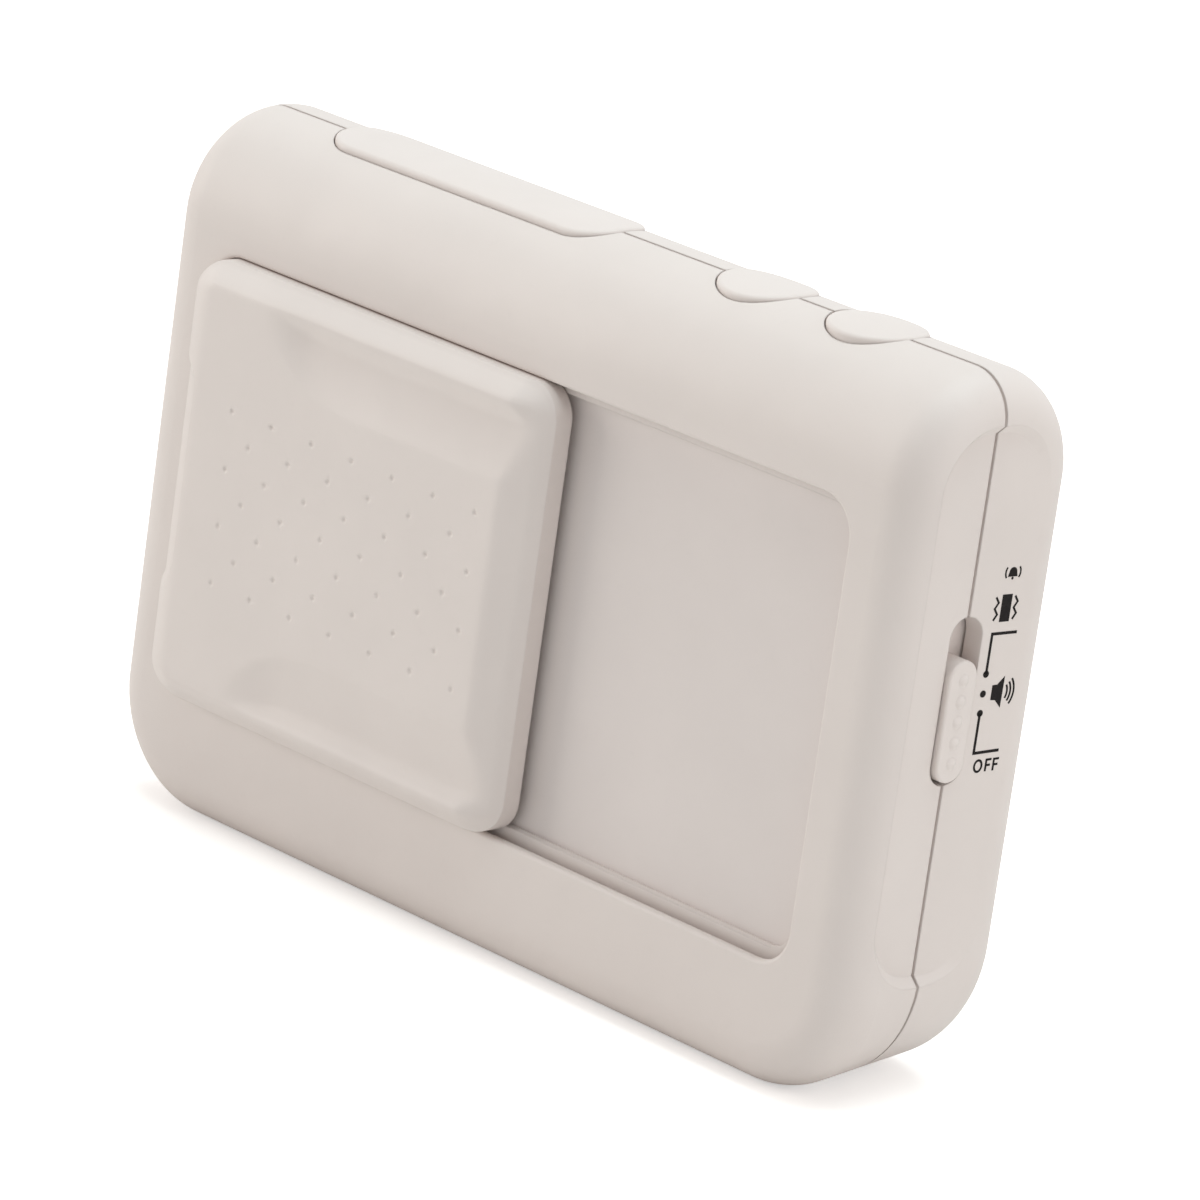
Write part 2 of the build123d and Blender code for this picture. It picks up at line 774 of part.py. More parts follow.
# Capacitor and resistors
with BuildPart() as board_components:
    with BuildSketch(facing(board_back)):
        with Locations(capacitor_place):
            Circle(capacitor_radius)
    extrude(amount=-capacitor_height)
    with BuildSketch(facing(board_back)):
        with Locations(resistor_place):
            with GridLocations(resistor_pitch, 0, resistor_count, 1):
                Rectangle(resistor_size[2], resistor_size[0])
    extrude(amount=-resistor_size[1])
board_components.part.label = "board_components"
export_step(board_components.part, "parts/board_components.step")

# The three caps of the top: a raised top, a flange under the shell and a stem
cap_floor = body_form(wall + clearance + cap_flange)
flange_skin = body_form(wall + clearance)
tact_top = board_high
plunger_top = tact_top + plunger_proud
tact_y = depth(board_back) + tact_depth / 2


def cap_column(x, grow):
    """A column with the outline of the cap at this place, seen from above."""
    with BuildPart() as column:
        with BuildSketch(Plane.XY.offset(body_height - top_round)):
            with Locations((x, middle_y)):
                if x == snooze_x:
                    RectangleRounded(snooze_length + 2 * grow, snooze_width + 2 * grow, snooze_corner + grow)
                else:
                    Circle(button_radius + grow)
        extrude(amount=top_round + overrun)
        add(cap_floor, mode=Mode.SUBTRACT)
    return column.part


with BuildPart() as crown:
    with BuildSketch(Plane.YZ.offset(-side_x)):
        with Locations((middle_y, body_height + cap_rise - cap_crown)):
            Circle(cap_crown)
    extrude(amount=body_width)

dome_top = body_height + dome_rise
dome_reach = button_radius + cap_edge_round
dome_fall = dome_radius - sqrt(dome_radius**2 - dome_reach**2)
with BuildPart() as dome:
    with BuildSketch(Plane.YZ.offset(button_x[1])):
        with BuildLine():
            crest = ThreePointArc(
                (middle_y - dome_reach, dome_top - dome_fall),
                (middle_y, dome_top),
                (middle_y + dome_reach, dome_top - dome_fall),
            )
            Polyline(
                crest @ 1,
                (middle_y + dome_reach, dome_top - dome_roll),
                (middle_y - dome_reach, dome_top - dome_roll),
                crest @ 0,
            )
        make_face()
    revolve(axis=Axis((button_x[1], middle_y, dome_top - dome_roll), (0, 1, 0)))

for name, x, top in (
    ("snooze_bar", snooze_x, crown.part),
    ("round_button_left", button_x[0], crown.part),
    ("round_button_right", button_x[1], dome.part),
):
    column = cap_column(x, 0)
    flange = cap_column(x, cap_flange)
    with BuildPart() as flange_ring:
        add(flange)
        add(flange_skin, mode=Mode.INTERSECT)
    with BuildPart() as cap:
        add(column)
        add(top, mode=Mode.INTERSECT)
        fillet(cap.faces().sort_by(Axis.Z)[-1].outer_wire().edges(), cap_edge_round)
        add(flange_ring.part)
        with BuildSketch(Plane.XY.offset(plunger_top)):
            with Locations((x, tact_y)):
                Circle(stem_radius)
        extrude(amount=body_height - wall - clearance - cap_flange / 2 - plunger_top)
    cap.part.label = name
    export_step(cap.part, f"parts/{name}.step")

# Three push switches on the top edge of the board, with the plungers that the caps press
for name, x in (("snooze", snooze_x), ("left", button_x[0]), ("right", button_x[1])):
    with BuildPart() as push_switch:
        with BuildSketch(facing(board_back + tact_depth)):
            with Locations((x, tact_top - tact_height / 2)):
                Rectangle(tact_width, tact_height)
        extrude(amount=tact_depth)
        with BuildSketch(Plane.XY.offset(tact_top)):
            with Locations((x, tact_y)):
                Circle(plunger_radius + snug)
        extrude(amount=-(plunger_room + cap_travel), mode=Mode.SUBTRACT)
    push_switch.part.label = f"{name}_push_switch"
    export_step(push_switch.part, f"parts/{name}_push_switch.step")

    with BuildPart() as plunger:
        with BuildSketch(Plane.XY.offset(tact_top - plunger_room + clearance)):
            with Locations((x, tact_y)):
                Circle(plunger_radius)
        extrude(amount=plunger_room - clearance + plunger_proud)
    plunger.part.label = f"{name}_plunger"
    export_step(plunger.part, f"parts/{name}_plunger.step")

# Alarm slider: the knob in the side slot, the flange that closes the slot, and the socket for the lever
slider_floor_x = side_x - grip_depth
slider_low = slot_low + (slot_length - slider_length - slider_travel) / 2
slider_z = slider_low + slider_length / 2
flange_x = slider_floor_x - wall - clearance
lever_y = parting_y
with BuildPart() as alarm_slider:
    with BuildSketch(Plane.YZ.offset(flange_x - slider_flange)):
        with Locations((lever_y, slider_z)):
            SlotOverall(slider_length, slot_width - 2 * slider_gap, rotation=90)
    extrude(amount=slider_floor_x + slider_proud - flange_x + slider_flange)
    fillet(alarm_slider.faces().sort_by(Axis.X)[-1].edges(), small_round)
    flange_length = slot_length + slider_travel + 2 * clearance
    with BuildSketch(Plane.YZ.offset(flange_x - slider_flange)):
        with Locations((lever_y, slot_z - slider_travel / 2)):
            RectangleRounded(slot_width + 2 * flange_margin, flange_length, flange_margin)
    extrude(amount=slider_flange)
    with BuildSketch(Plane.YZ.offset(flange_x - slider_flange - lever_reach)):
        with Locations((lever_y, slider_z)):
            Rectangle(lever_socket, lever_socket)
            Rectangle(lever_width + 2 * snug, lever_width + 2 * snug, mode=Mode.SUBTRACT)
    extrude(amount=lever_reach)
    bump_face_x = slider_floor_x + slider_proud
    bump_curve = (bump_radius**2 + bump_height**2) / (2 * bump_height)
    for step in range(bump_count):
        z = slider_z + (step - (bump_count - 1) / 2) * bump_pitch
        with BuildSketch(Plane.XZ.offset(-lever_y)):
            with BuildLine():
                foot = Line((bump_face_x, z), (bump_face_x, z + bump_radius))
                ThreePointArc(
                    foot @ 1,
                    (
                        bump_face_x + bump_height - bump_curve + sqrt(bump_curve**2 - bump_radius**2 / 4),
                        z + bump_radius / 2,
                    ),
                    (bump_face_x + bump_height, z),
                )
                Line((bump_face_x + bump_height, z), foot @ 0)
            make_face()
        revolve(axis=Axis((bump_face_x, lever_y, z), (1, 0, 0)))
alarm_slider.part.label = "alarm_slider"
export_step(alarm_slider.part, "parts/alarm_slider.step")

# Slide switch on the board, and the lever that the knob moves
switch_right = flange_x - slider_flange - lever_reach - clearance
switch_z = slider_z + slider_travel / 2
with BuildPart() as alarm_switch_body:
    with BuildSketch(facing(board_back + switch_depth)):
        with Locations((switch_right - switch_width / 2, switch_z)):
            Rectangle(switch_width, switch_height)
    extrude(amount=switch_depth)
    with BuildSketch(Plane.YZ.offset(switch_right)):
        with Locations((lever_y, switch_z)):
            Rectangle(lever_width + 2 * snug, lever_width + slider_travel + 2 * snug)
    extrude(amount=-switch_width / 2, mode=Mode.SUBTRACT)
alarm_switch_body.part.label = "alarm_switch_body"
export_step(alarm_switch_body.part, "parts/alarm_switch_body.step")

with BuildPart() as alarm_switch_lever:
    with BuildSketch(Plane.YZ.offset(switch_right - switch_width / 2 + snug)):
        with Locations((lever_y, slider_z)):
            Rectangle(lever_width, lever_width)
    extrude(amount=switch_width / 2 - snug + clearance + lever_reach - snug)
alarm_switch_lever.part.label = "alarm_switch_lever"
export_step(alarm_switch_lever.part, "parts/alarm_switch_lever.step")

# Motor can with its front boss
with BuildPart() as motor_can:
    with BuildSketch(Plane.YZ.offset(motor_x)):
        with Locations((motor_y, motor_z)):
            Circle(motor_radius)
    extrude(amount=motor_length)
    fillet(motor_can.edges().group_by(Axis.X)[-1], motor_cap_inset)
    with BuildSketch(Plane.YZ.offset(motor_x1)):
        with Locations((motor_y, motor_z)):
            Circle(motor_boss_radius)
    extrude(amount=motor_boss_length)
    with BuildSketch(Plane.YZ.offset(motor_x1 + motor_boss_length)):
        with Locations((motor_y, motor_z)):
            Circle(shaft_radius + pilot_gap)
    extrude(amount=-(motor_boss_length + motor_length / 2), mode=Mode.SUBTRACT)
motor_can.part.label = "motor_can"
export_step(motor_can.part, "parts/motor_can.step")

with BuildPart() as motor_end_cap:
    with BuildSketch(Plane.YZ.offset(motor_x)):
        with Locations((motor_y, motor_z)):
            Circle(motor_radius - motor_cap_inset)
    extrude(amount=-motor_cap_length)
motor_end_cap.part.label = "motor_end_cap"
export_step(motor_end_cap.part, "parts/motor_end_cap.step")

# Shaft, and the eccentric weight that hangs from it
shaft_start = motor_x1 - motor_length / 2 + clearance
with BuildPart() as motor_shaft:
    with BuildSketch(Plane.YZ.offset(shaft_start)):
        with Locations((motor_y, motor_z)):
            Circle(shaft_radius)
    extrude(amount=motor_length / 2 - clearance + motor_boss_length + shaft_reach)
motor_shaft.part.label = "motor_shaft"
export_step(motor_shaft.part, "parts/motor_shaft.step")

with BuildPart() as eccentric_weight:
    with BuildSketch(Plane.YZ.offset(motor_x1 + motor_boss_length + weight_gap)):
        with Locations((motor_y, motor_z)):
            Circle(weight_radius)
        with Locations((motor_y, motor_z + weight_radius / 2)):
            Rectangle(2 * weight_radius, weight_radius, mode=Mode.SUBTRACT)
        with Locations((motor_y, motor_z)):
            Circle(weight_hub)
            Circle(shaft_radius, mode=Mode.SUBTRACT)
    extrude(amount=weight_length)
eccentric_weight.part.label = "eccentric_weight"
export_step(eccentric_weight.part, "parts/eccentric_weight.step")

# Strap over the motor can, with an ear for a screw at each end
strap_inner = motor_radius + snug
strap_outer = strap_inner + strap_thick
with BuildPart() as motor_strap:
    with BuildSketch(Plane.YZ.offset(strap_x - strap_width / 2)):
        with Locations((motor_y, motor_z)):
            Circle(strap_outer)
            Circle(strap_inner, mode=Mode.SUBTRACT)
        with Locations((motor_y + strap_outer / 2, motor_z)):
            Rectangle(strap_outer, 2 * strap_outer, mode=Mode.SUBTRACT)
        for side in (1, -1):
            with Locations((motor_y - strap_thick / 2, motor_z + side * (strap_inner + strap_ear / 2))):
                Rectangle(strap_thick, strap_ear)
    extrude(amount=strap_width)
    with BuildSketch(facing(motor_depth)):
        with Locations(*strap_places):
            Circle(strap_screw_radius + snug)
    extrude(amount=strap_outer, mode=Mode.SUBTRACT)
motor_strap.part.label = "motor_strap"
export_step(motor_strap.part, "parts/motor_strap.step")

with BuildPart() as strap_screws:
    with BuildSketch(facing(motor_depth - strap_thick)):
        with Locations(*strap_places):
            Circle(strap_screw_head)
    extrude(amount=strap_screw_head_height)
    with BuildSketch(facing(motor_depth - strap_thick)):
        with Locations(*strap_places):
            Circle(strap_screw_radius)
    extrude(amount=-(strap_thick + strap_screw_length - clearance))
strap_screws.part.label = "strap_screws"
export_step(strap_screws.part, "parts/strap_screws.step")

# Buzzer on a foam ring against the rear wall
with BuildPart() as buzzer_pad:
    with BuildSketch(facing(inner_back)):
        with Locations((buzzer_x, buzzer_z)):
            Circle(buzzer_radius)
            Circle(buzzer_radius - 2 * buzzer_ring, mode=Mode.SUBTRACT)
    extrude(amount=buzzer_pad_thick)
buzzer_pad.part.label = "buzzer_pad"
export_step(buzzer_pad.part, "parts/buzzer_pad.step")

with BuildPart() as buzzer:
    with BuildSketch(facing(inner_back - buzzer_pad_thick)):
        with Locations((buzzer_x, buzzer_z)):
            Circle(buzzer_radius)
    extrude(amount=buzzer_thick)
    with BuildSketch(facing(inner_back - buzzer_pad_thick)):
        with Locations((buzzer_x, buzzer_z)):
            Circle(buzzer_mouth_radius)
    extrude(amount=buzzer_step, mode=Mode.SUBTRACT)
    fillet(buzzer.edges().group_by(Axis.Y)[0], buzzer_pad_thick)
buzzer.part.label = "buzzer"
export_step(buzzer.part, "parts/buzzer.step")

# Two cells, head to tail
for name, z, turned in (("lower_cell", cell_places[0], False), ("upper_cell", cell_places[1], True)):
    can_x = cell_left_x + (nub_length if turned else 0)
    nub_x = cell_left_x if turned else cell_left_x + cell_length
    with BuildPart() as cell:
        with BuildSketch(Plane.YZ.offset(can_x)):
            with Locations((depth(cell_depth), z)):
                Circle(cell_radius)
        extrude(amount=cell_length)
        fillet(cell.edges(), small_round)
        with BuildSketch(Plane.YZ.offset(nub_x)):
            with Locations((depth(cell_depth), z)):
                Circle(nub_radius)
        extrude(amount=nub_length)
    cell.part.label = name
    export_step(cell.part, f"parts/{name}.step")


def leaf_contact(wall_x, z, reach, plate_height):
    """A thin plate on an end wall of the pocket, with a bowed leaf that reaches for the cell."""
    plate = contact_thick if reach > 0 else -contact_thick
    middle = depth(cell_depth)
    foot_x = wall_x + plate / 2
    with BuildPart() as contact:
        with BuildSketch(Plane.YZ.offset(wall_x)):
            with Locations((middle, z)):
                Rectangle(contact_width, plate_height)
        extrude(amount=plate)
        with BuildSketch(Plane.XY.offset(z - nub_radius)):
            with BuildLine():
                outer = ThreePointArc(
                    (foot_x, middle - contact_width / 2),
                    (wall_x + reach, middle),
                    (foot_x, middle + contact_width / 2),
                )
                inner = ThreePointArc(
                    (foot_x, middle - contact_width / 2 + contact_thick),
                    (wall_x + reach - plate, middle),
                    (foot_x, middle + contact_width / 2 - contact_thick),
                )
                Line(outer @ 0, inner @ 0)
                Line(outer @ 1, inner @ 1)
            make_face()
        extrude(amount=2 * nub_radius)
    return contact.part


# Contact plate that joins the two cells at the left end
bridge_lower = leaf_contact(pocket_x0, cell_places[0], pocket_left - snug, contact_height)
bridge_upper = leaf_contact(pocket_x0, cell_places[1], pocket_left - snug, contact_height)
with BuildPart() as battery_bridge:
    with BuildSketch(Plane.YZ.offset(pocket_x0)):
        with Locations((depth(cell_depth), sum(cell_places) / 2)):
            Rectangle(contact_width, cell_pitch)
    extrude(amount=contact_thick)
    add(bridge_lower)
    add(bridge_upper)
battery_bridge.part.label = "battery_bridge"
export_step(battery_bridge.part, "parts/battery_bridge.step")

# Two separate contacts at the right end
terminal_lower = leaf_contact(pocket_x1, cell_places[0], snug - pocket_right, contact_height)
terminal_upper = leaf_contact(pocket_x1, cell_places[1], snug - pocket_right, contact_height)
with BuildPart() as battery_terminals:
    add(terminal_lower)
    add(terminal_upper)
battery_terminals.part.label = "battery_terminals"
export_step(battery_terminals.part, "parts/battery_terminals.step")

# Battery door: a rounded pivot edge and a tab on the right, a finger rest on the left
hinge_radius = door_thick / 2
hinge_x = door_x1 - clearance - hinge_radius
hinge_depth = body_depth - hinge_radius
door_z = (door_z0 + door_z1) / 2
with BuildPart() as battery_door:
    with BuildSketch(facing(body_depth)) as door_outline:
        with Locations(((door_x0 + clearance + hinge_x) / 2, door_z)):
            Rectangle(hinge_x - door_x0 - clearance, door_z1 - door_z0 - 2 * clearance)
        fillet(door_outline.vertices().group_by(Axis.X)[0], door_corner - clearance)
    extrude(amount=door_thick)
    with BuildSketch(Plane.XY.offset(door_z0 + clearance)):
        with Locations((hinge_x, depth(hinge_depth))):
            Circle(hinge_radius)
    extrude(amount=door_z1 - door_z0 - 2 * clearance)
    tab_front = body_depth - wall - tab_drop - tab_thick
    with BuildSketch(facing(body_depth - door_thick + tab_drop)):
        with Locations((hinge_x - tab_length / 2, door_z)):
            Rectangle(tab_length, tab_width)
    extrude(amount=body_depth - door_thick + tab_drop - tab_front)
    with BuildSketch(facing(tab_front + tab_thick)):
        with Locations((hinge_x + hinge_radius / 2 + tab_length / 2, door_z)):
            Rectangle(tab_length + hinge_radius, tab_width)
    extrude(amount=tab_thick)
    with BuildSketch(facing(body_depth)):
        with Locations((door_x0 + thumb_notch_reach + door_groove_pitch, door_z)):
            with GridLocations(door_groove_pitch, 0, door_groove_count, 1):
                SlotOverall(door_groove_length, door_groove_width, rotation=90)
    extrude(amount=door_groove_depth, mode=Mode.SUBTRACT)
battery_door.part.label = "battery_door"
export_step(battery_door.part, "parts/battery_door.step")

# Four case screws, driven from the back
with BuildPart() as case_screws:
    with BuildSketch(facing(head_seat_depth)):
        with Locations(*post_places):
            Circle(head_radius)
    extrude(amount=-head_height)
    with BuildSketch(facing(head_seat_depth)):
        with Locations(*post_places):
            Circle(screw_radius)
    extrude(amount=screw_length)
case_screws.part.label = "case_screws"
export_step(case_screws.part, "parts/case_screws.step")
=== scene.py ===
from math import cos, hypot, pi, radians, sin

import bmesh
import bpy
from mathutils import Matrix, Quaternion, Vector


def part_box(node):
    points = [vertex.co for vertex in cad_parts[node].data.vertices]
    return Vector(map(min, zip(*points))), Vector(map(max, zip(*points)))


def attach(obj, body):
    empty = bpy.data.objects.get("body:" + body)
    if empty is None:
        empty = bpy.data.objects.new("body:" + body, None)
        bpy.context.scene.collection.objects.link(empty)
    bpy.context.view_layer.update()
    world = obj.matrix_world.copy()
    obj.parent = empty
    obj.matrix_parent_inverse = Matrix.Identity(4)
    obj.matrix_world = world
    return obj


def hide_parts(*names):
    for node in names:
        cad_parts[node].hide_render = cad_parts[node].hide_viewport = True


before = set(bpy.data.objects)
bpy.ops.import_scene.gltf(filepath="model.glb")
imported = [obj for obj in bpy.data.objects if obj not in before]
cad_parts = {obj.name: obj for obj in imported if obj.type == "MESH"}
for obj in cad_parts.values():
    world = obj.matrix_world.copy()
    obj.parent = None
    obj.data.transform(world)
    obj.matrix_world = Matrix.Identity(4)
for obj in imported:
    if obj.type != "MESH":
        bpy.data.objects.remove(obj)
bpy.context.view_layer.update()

MM = 0.001

# The photograph's viewpoint: where the camera stands, where it looks, how far it is tilted over
CAMERA_PLACE = Vector((505.07, -530.30, 254.44)) * MM
CAMERA_AIM = Vector((-0.65742, 0.69824, -0.28329))
CAMERA_ROLL = radians(8.03)
CAMERA_LENS = 217.27
CAMERA_SENSOR = 36.0
CAMERA_CLIP = 0.01

# Light levels; a strength of 1 from the world shows a colour as it is written
SKY_STRENGTH = 0.44
SKY_COLOUR = (1.0, 0.965, 0.945)
FLOOR_COLOUR = (0.90, 0.885, 0.87)
FLOOR_GLOW = 0.45
FLOOR_SIZE = 3.0
# Place, size, power and colour of each lamp, in metres and watts, and the point that all of them face
LAMPS = {
    "overhead": ((0.05, 0.10, 1.30), 1.1, 12.4, (0.87, 0.985, 1.0)),
    "front_left": ((-1.15, -0.72, 0.35), 0.7, 6.2, (1.0, 0.955, 0.89)),
    "right": ((1.12, 0.20, 0.42), 0.7, 3.0, (1.0, 0.975, 0.955)),
}
LAMP_AIM = Vector((0, 0, 0.04))

# Colours, linear
WHITE = (1.0, 1.0, 1.0)
CASE_COLOUR = (0.722, 0.656, 0.626)
PANEL_COLOUR = (0.712, 0.650, 0.628)
# Painted shade for narrow gaps and corners: warm brown on the pale plastics, near black on the dark ones
GAP_SHADE_BROWN = (0.58, 0.42, 0.34)
GAP_SHADE_BLACK = (0.004, 0.004, 0.004)
BARE_METAL = (0.52, 0.52, 0.53)

# Sockets of the Mix node that belong to colours
MIX_SHARE, MIX_FIRST, MIX_SECOND, MIX_RESULT = 0, 6, 7, 2
# Nearly all values of a noise lie between these two
NOISE_LOW, NOISE_HIGH = 0.3, 0.7


class Nodes:
    """A shader node tree; an input is a number, a colour or another node's output."""

    def __init__(self, tree):
        self.tree = tree

    def node(self, kind, inputs=None, **settings):
        made = self.tree.nodes.new("ShaderNode" + kind)
        for key, value in settings.items():
            setattr(made, key, value)
        for key, value in (inputs or {}).items():
            self.feed(made.inputs[key], value)
        return made

    def feed(self, socket, value):
        if isinstance(value, bpy.types.NodeSocket):
            self.tree.links.new(value, socket)
        else:
            socket.default_value = value

    def span(self, value, low, high, start=0.0, end=1.0):
        """Maps start..end of a value to low..high, clamped."""
        inputs = {"Value": value, "From Min": start, "From Max": end, "To Min": low, "To Max": high}
        return self.node("MapRange", inputs).outputs["Result"]

    def maths(self, operation, first, second):
        return self.node("Math", {0: first, 1: second}, operation=operation).outputs[0]

    def mix(self, share, first, second):
        """Mixes two colours; share 0 is the first."""
        inputs = {MIX_SHARE: share, MIX_FIRST: solid(first), MIX_SECOND: solid(second)}
        return self.node("Mix", inputs, data_type="RGBA").outputs[MIX_RESULT]


class Finish(Nodes):
    """A Principled material; its colour, roughness and bump come from procedural nodes."""

    def __init__(self, name, numbers):
        self.material = bpy.data.materials.new(name)
        self.material.use_nodes = True
        super().__init__(self.material.node_tree)
        self.shader = self.tree.nodes["Principled BSDF"]
        for socket, value in numbers.items():
            self.set(socket, value)
        self.place = self.node("TexCoord").outputs["Object"]

    def set(self, socket, value):
        self.feed(self.shader.inputs[socket], value)

    def stretched(self, factors):
        """Object coordinates scaled by a factor for each axis."""
        return self.node("Mapping", {"Vector": self.place, "Scale": factors}).outputs["Vector"]

    def noise(self, size, detail, vector=None):
        """Noise whose blotches are about this size, in metres."""
        inputs = {"Vector": vector or self.place, "Scale": 1 / size, "Detail": detail}
        return self.node("TexNoise", inputs).outputs["Fac"]

    def bands(self, axis, scale, distortion):
        """Stripes across one axis."""
        inputs = {"Vector": self.place, "Scale": scale, "Distortion": distortion}
        return self.node("TexWave", inputs, wave_type="BANDS", bands_direction=axis).outputs["Fac"]

    def cells(self, scale):
        """The distance to the middle of each cell of a random pattern."""
        return self.node("TexVoronoi", {"Vector": self.place, "Scale": scale}).outputs["Distance"]

    def blend(self, pattern, first, second, start=NOISE_LOW, end=NOISE_HIGH, most=1.0):
        """Goes from the first colour towards the second as a pattern goes from start to end."""
        return self.mix(self.span(pattern, 0.0, most, start, end), first, second)

    def vary_roughness(self, pattern, low, high, start=NOISE_LOW, end=NOISE_HIGH):
        self.set("Roughness", self.span(pattern, low, high, start, end))

    def crevice(self, distance):
        """1 in the open and towards 0 in gaps and corners narrower than this distance."""
        return self.node("AmbientOcclusion", {"Distance": distance}, samples=6).outputs["AO"]

    def bump(self, height, depth, strength, normal=None):
        """Raises the height by up to depth; normal is what it is laid over, such as softened edges."""
        inputs = {"Height": height, "Distance": depth, "Strength": strength}
        if normal:
            inputs["Normal"] = normal
        self.set("Normal", self.node("Bump", inputs).outputs["Normal"])


def solid(colour):
    """A colour of three numbers as the four that a socket takes; anything else is left alone."""
    if isinstance(colour, tuple) and len(colour) == 3:
        return (*colour, 1.0)
    return colour


def shade(colour, factor):
    return tuple(part * factor for part in colour)


def moulded_plastic(name, colour, roughness, grain, depth, gap_shade_colour):
    """Moulded plastic: faint clouding, fine specks, a spark-eroded grain, and painted shade in narrow gaps
    and corners.
    """
    finish = Finish(name, {"IOR": 1.49, "Specular IOR Level": 0.42})
    clouds = finish.noise(size=14 * MM, detail=3.0)
    base = finish.blend(clouds, shade(colour, 0.985), shade(colour, 1.012), start=0.35, end=0.65)
    specks = finish.noise(size=0.9 * MM, detail=4.0)
    base = finish.blend(specks, base, shade(colour, 0.90), start=0.62, end=0.72, most=0.10)
    # Painted shade: ambient occlusion mixes up to 40 % of the gap shade colour into narrow gaps and corners
    gap_shade_share = finish.span(finish.crevice(0.22 * MM), low=0.40, high=0.0, start=0.05, end=0.50)
    finish.set("Base Color", finish.mix(gap_shade_share, base, gap_shade_colour))
    rub = finish.noise(size=5 * MM, detail=4.0)
    finish.vary_roughness(rub, roughness - 0.05, roughness + 0.05)
    edges = finish.node("Bevel", {"Radius": 0.28 * MM}, samples=4).outputs["Normal"]
    finish.bump(finish.noise(grain, detail=3.0), depth, strength=0.6, normal=edges)
    return finish.material


def metal(name, colour, roughness, axis):
    """Metal with drawing marks along one axis and slight tarnish."""
    finish = Finish(name, {"Metallic": 1.0})
    along = tuple(0.03 if letter == axis else 1.0 for letter in "XYZ")
    strokes = finish.noise(size=0.08 * MM, detail=4.0, vector=finish.stretched(along))
    stains = finish.noise(size=3 * MM, detail=5.0)
    base = finish.blend(stains, colour, shade(colour, 0.88), start=0.35)
    base = finish.blend(strokes, base, shade(colour, 0.8), start=0.45, end=0.65, most=0.12)
    finish.set("Base Color", base)
    finish.vary_roughness(strokes, roughness - 0.06, roughness + 0.10)
    finish.bump(strokes, depth=0.004 * MM, strength=0.5)
    return finish.material


def clear_plastic(name, colour, roughness, haze):
    """Clear or frosted moulding with faint flow lines."""
    finish = Finish(name, {"IOR": 1.49, "Transmission Weight": 1.0})
    flow = finish.noise(size=6 * MM, detail=2.0, vector=finish.stretched((1.0, 1.0, 0.25)))
    finish.set("Base Color", finish.blend(flow, colour, shade(colour, 0.985)))
    dust = finish.noise(size=0.4 * MM, detail=3.0)
    finish.vary_roughness(dust, roughness, roughness + haze, start=0.5, end=0.75)
    finish.bump(flow, depth=0.003 * MM, strength=0.3)
    return finish.material


def liquid_crystal(name):
    """The display's grey-green glass with faint rows of electrodes."""
    finish = Finish(name, {"Roughness": 0.16, "IOR": 1.5})
    cloud = finish.noise(size=9 * MM, detail=2.0)
    base = finish.blend(cloud, (0.330, 0.365, 0.285), (0.355, 0.390, 0.305))
    rows = finish.bands("Z", scale=320.0, distortion=0.0)
    base = finish.blend(rows, base, (0.20, 0.23, 0.17), start=0.85, end=1.0, most=0.06)
    finish.set("Base Color", base)
    finish.bump(finish.noise(size=2 * MM, detail=2.0), depth=0.002 * MM, strength=0.3)
    return finish.material


def printed_ink(name, colour):
    """Pad-printed ink: nearly black, slightly uneven, with a soft sheen."""
    finish = Finish(name, {"IOR": 1.3, "Specular IOR Level": 0.25})
    film = finish.noise(size=0.25 * MM, detail=4.0)
    finish.set("Base Color", finish.blend(film, colour, shade(colour, 1.7), start=0.4))
    finish.vary_roughness(film, 0.52, 0.66)
    finish.bump(film, depth=0.004 * MM, strength=0.4)
    return finish.material


def circuit_board(name):
    """Green solder mask over copper tracks, with a weave under it and small tinned pads."""
    finish = Finish(name, {"IOR": 1.5, "Coat Weight": 0.3})
    turn = {"Vector": finish.place, "Rotation": (pi / 2, 0.0, 0.0)}
    upright = finish.node("Mapping", turn).outputs["Vector"]
    black, white = (0.0, 0.0, 0.0, 1.0), (1.0, 1.0, 1.0, 1.0)
    tracks = finish.node("TexBrick", {"Vector": upright, "Scale": 210.0, "Mortar Size": 0.06, "Color1": black,
                                      "Color2": black, "Mortar": white}).outputs["Color"]
    pads = finish.cells(320.0)
    weave = finish.noise(size=0.5 * MM, detail=2.0, vector=finish.stretched((1.0, 1.0, 0.3)))
    base = finish.blend(weave, (0.012, 0.075, 0.032), (0.018, 0.100, 0.042))
    base = finish.blend(tracks, base, (0.035, 0.190, 0.075), start=0.2, end=0.8, most=0.75)
    is_pad = finish.span(pads, low=0.9, high=0.0, start=0.0, end=0.10)
    finish.set("Base Color", finish.mix(is_pad, base, (0.62, 0.60, 0.56)))
    finish.vary_roughness(weave, 0.28, 0.42)
    finish.bump(finish.span(tracks, 0.0, 1.0), depth=0.02 * MM, strength=0.6)
    return finish.material


def zebra_rubber(name):
    """Conductive strip: thin black and pink layers side by side along X."""
    finish = Finish(name, {"Roughness": 0.7})
    layers = finish.bands("X", scale=900.0, distortion=0.4)
    finish.set("Base Color", finish.blend(layers, (0.55, 0.18, 0.19), (0.03, 0.02, 0.02), start=0.4, end=0.6))
    finish.bump(layers, depth=0.01 * MM, strength=0.5)
    return finish.material


def foam(name):
    """Dark open-cell foam."""
    finish = Finish(name, {"Roughness": 0.95})
    pores = finish.cells(2600.0)
    base = finish.blend(pores, (0.008, 0.008, 0.009), (0.045, 0.045, 0.05), start=0.1, end=0.6)
    finish.set("Base Color", base)
    finish.bump(pores, depth=0.08 * MM, strength=1.0)
    return finish.material


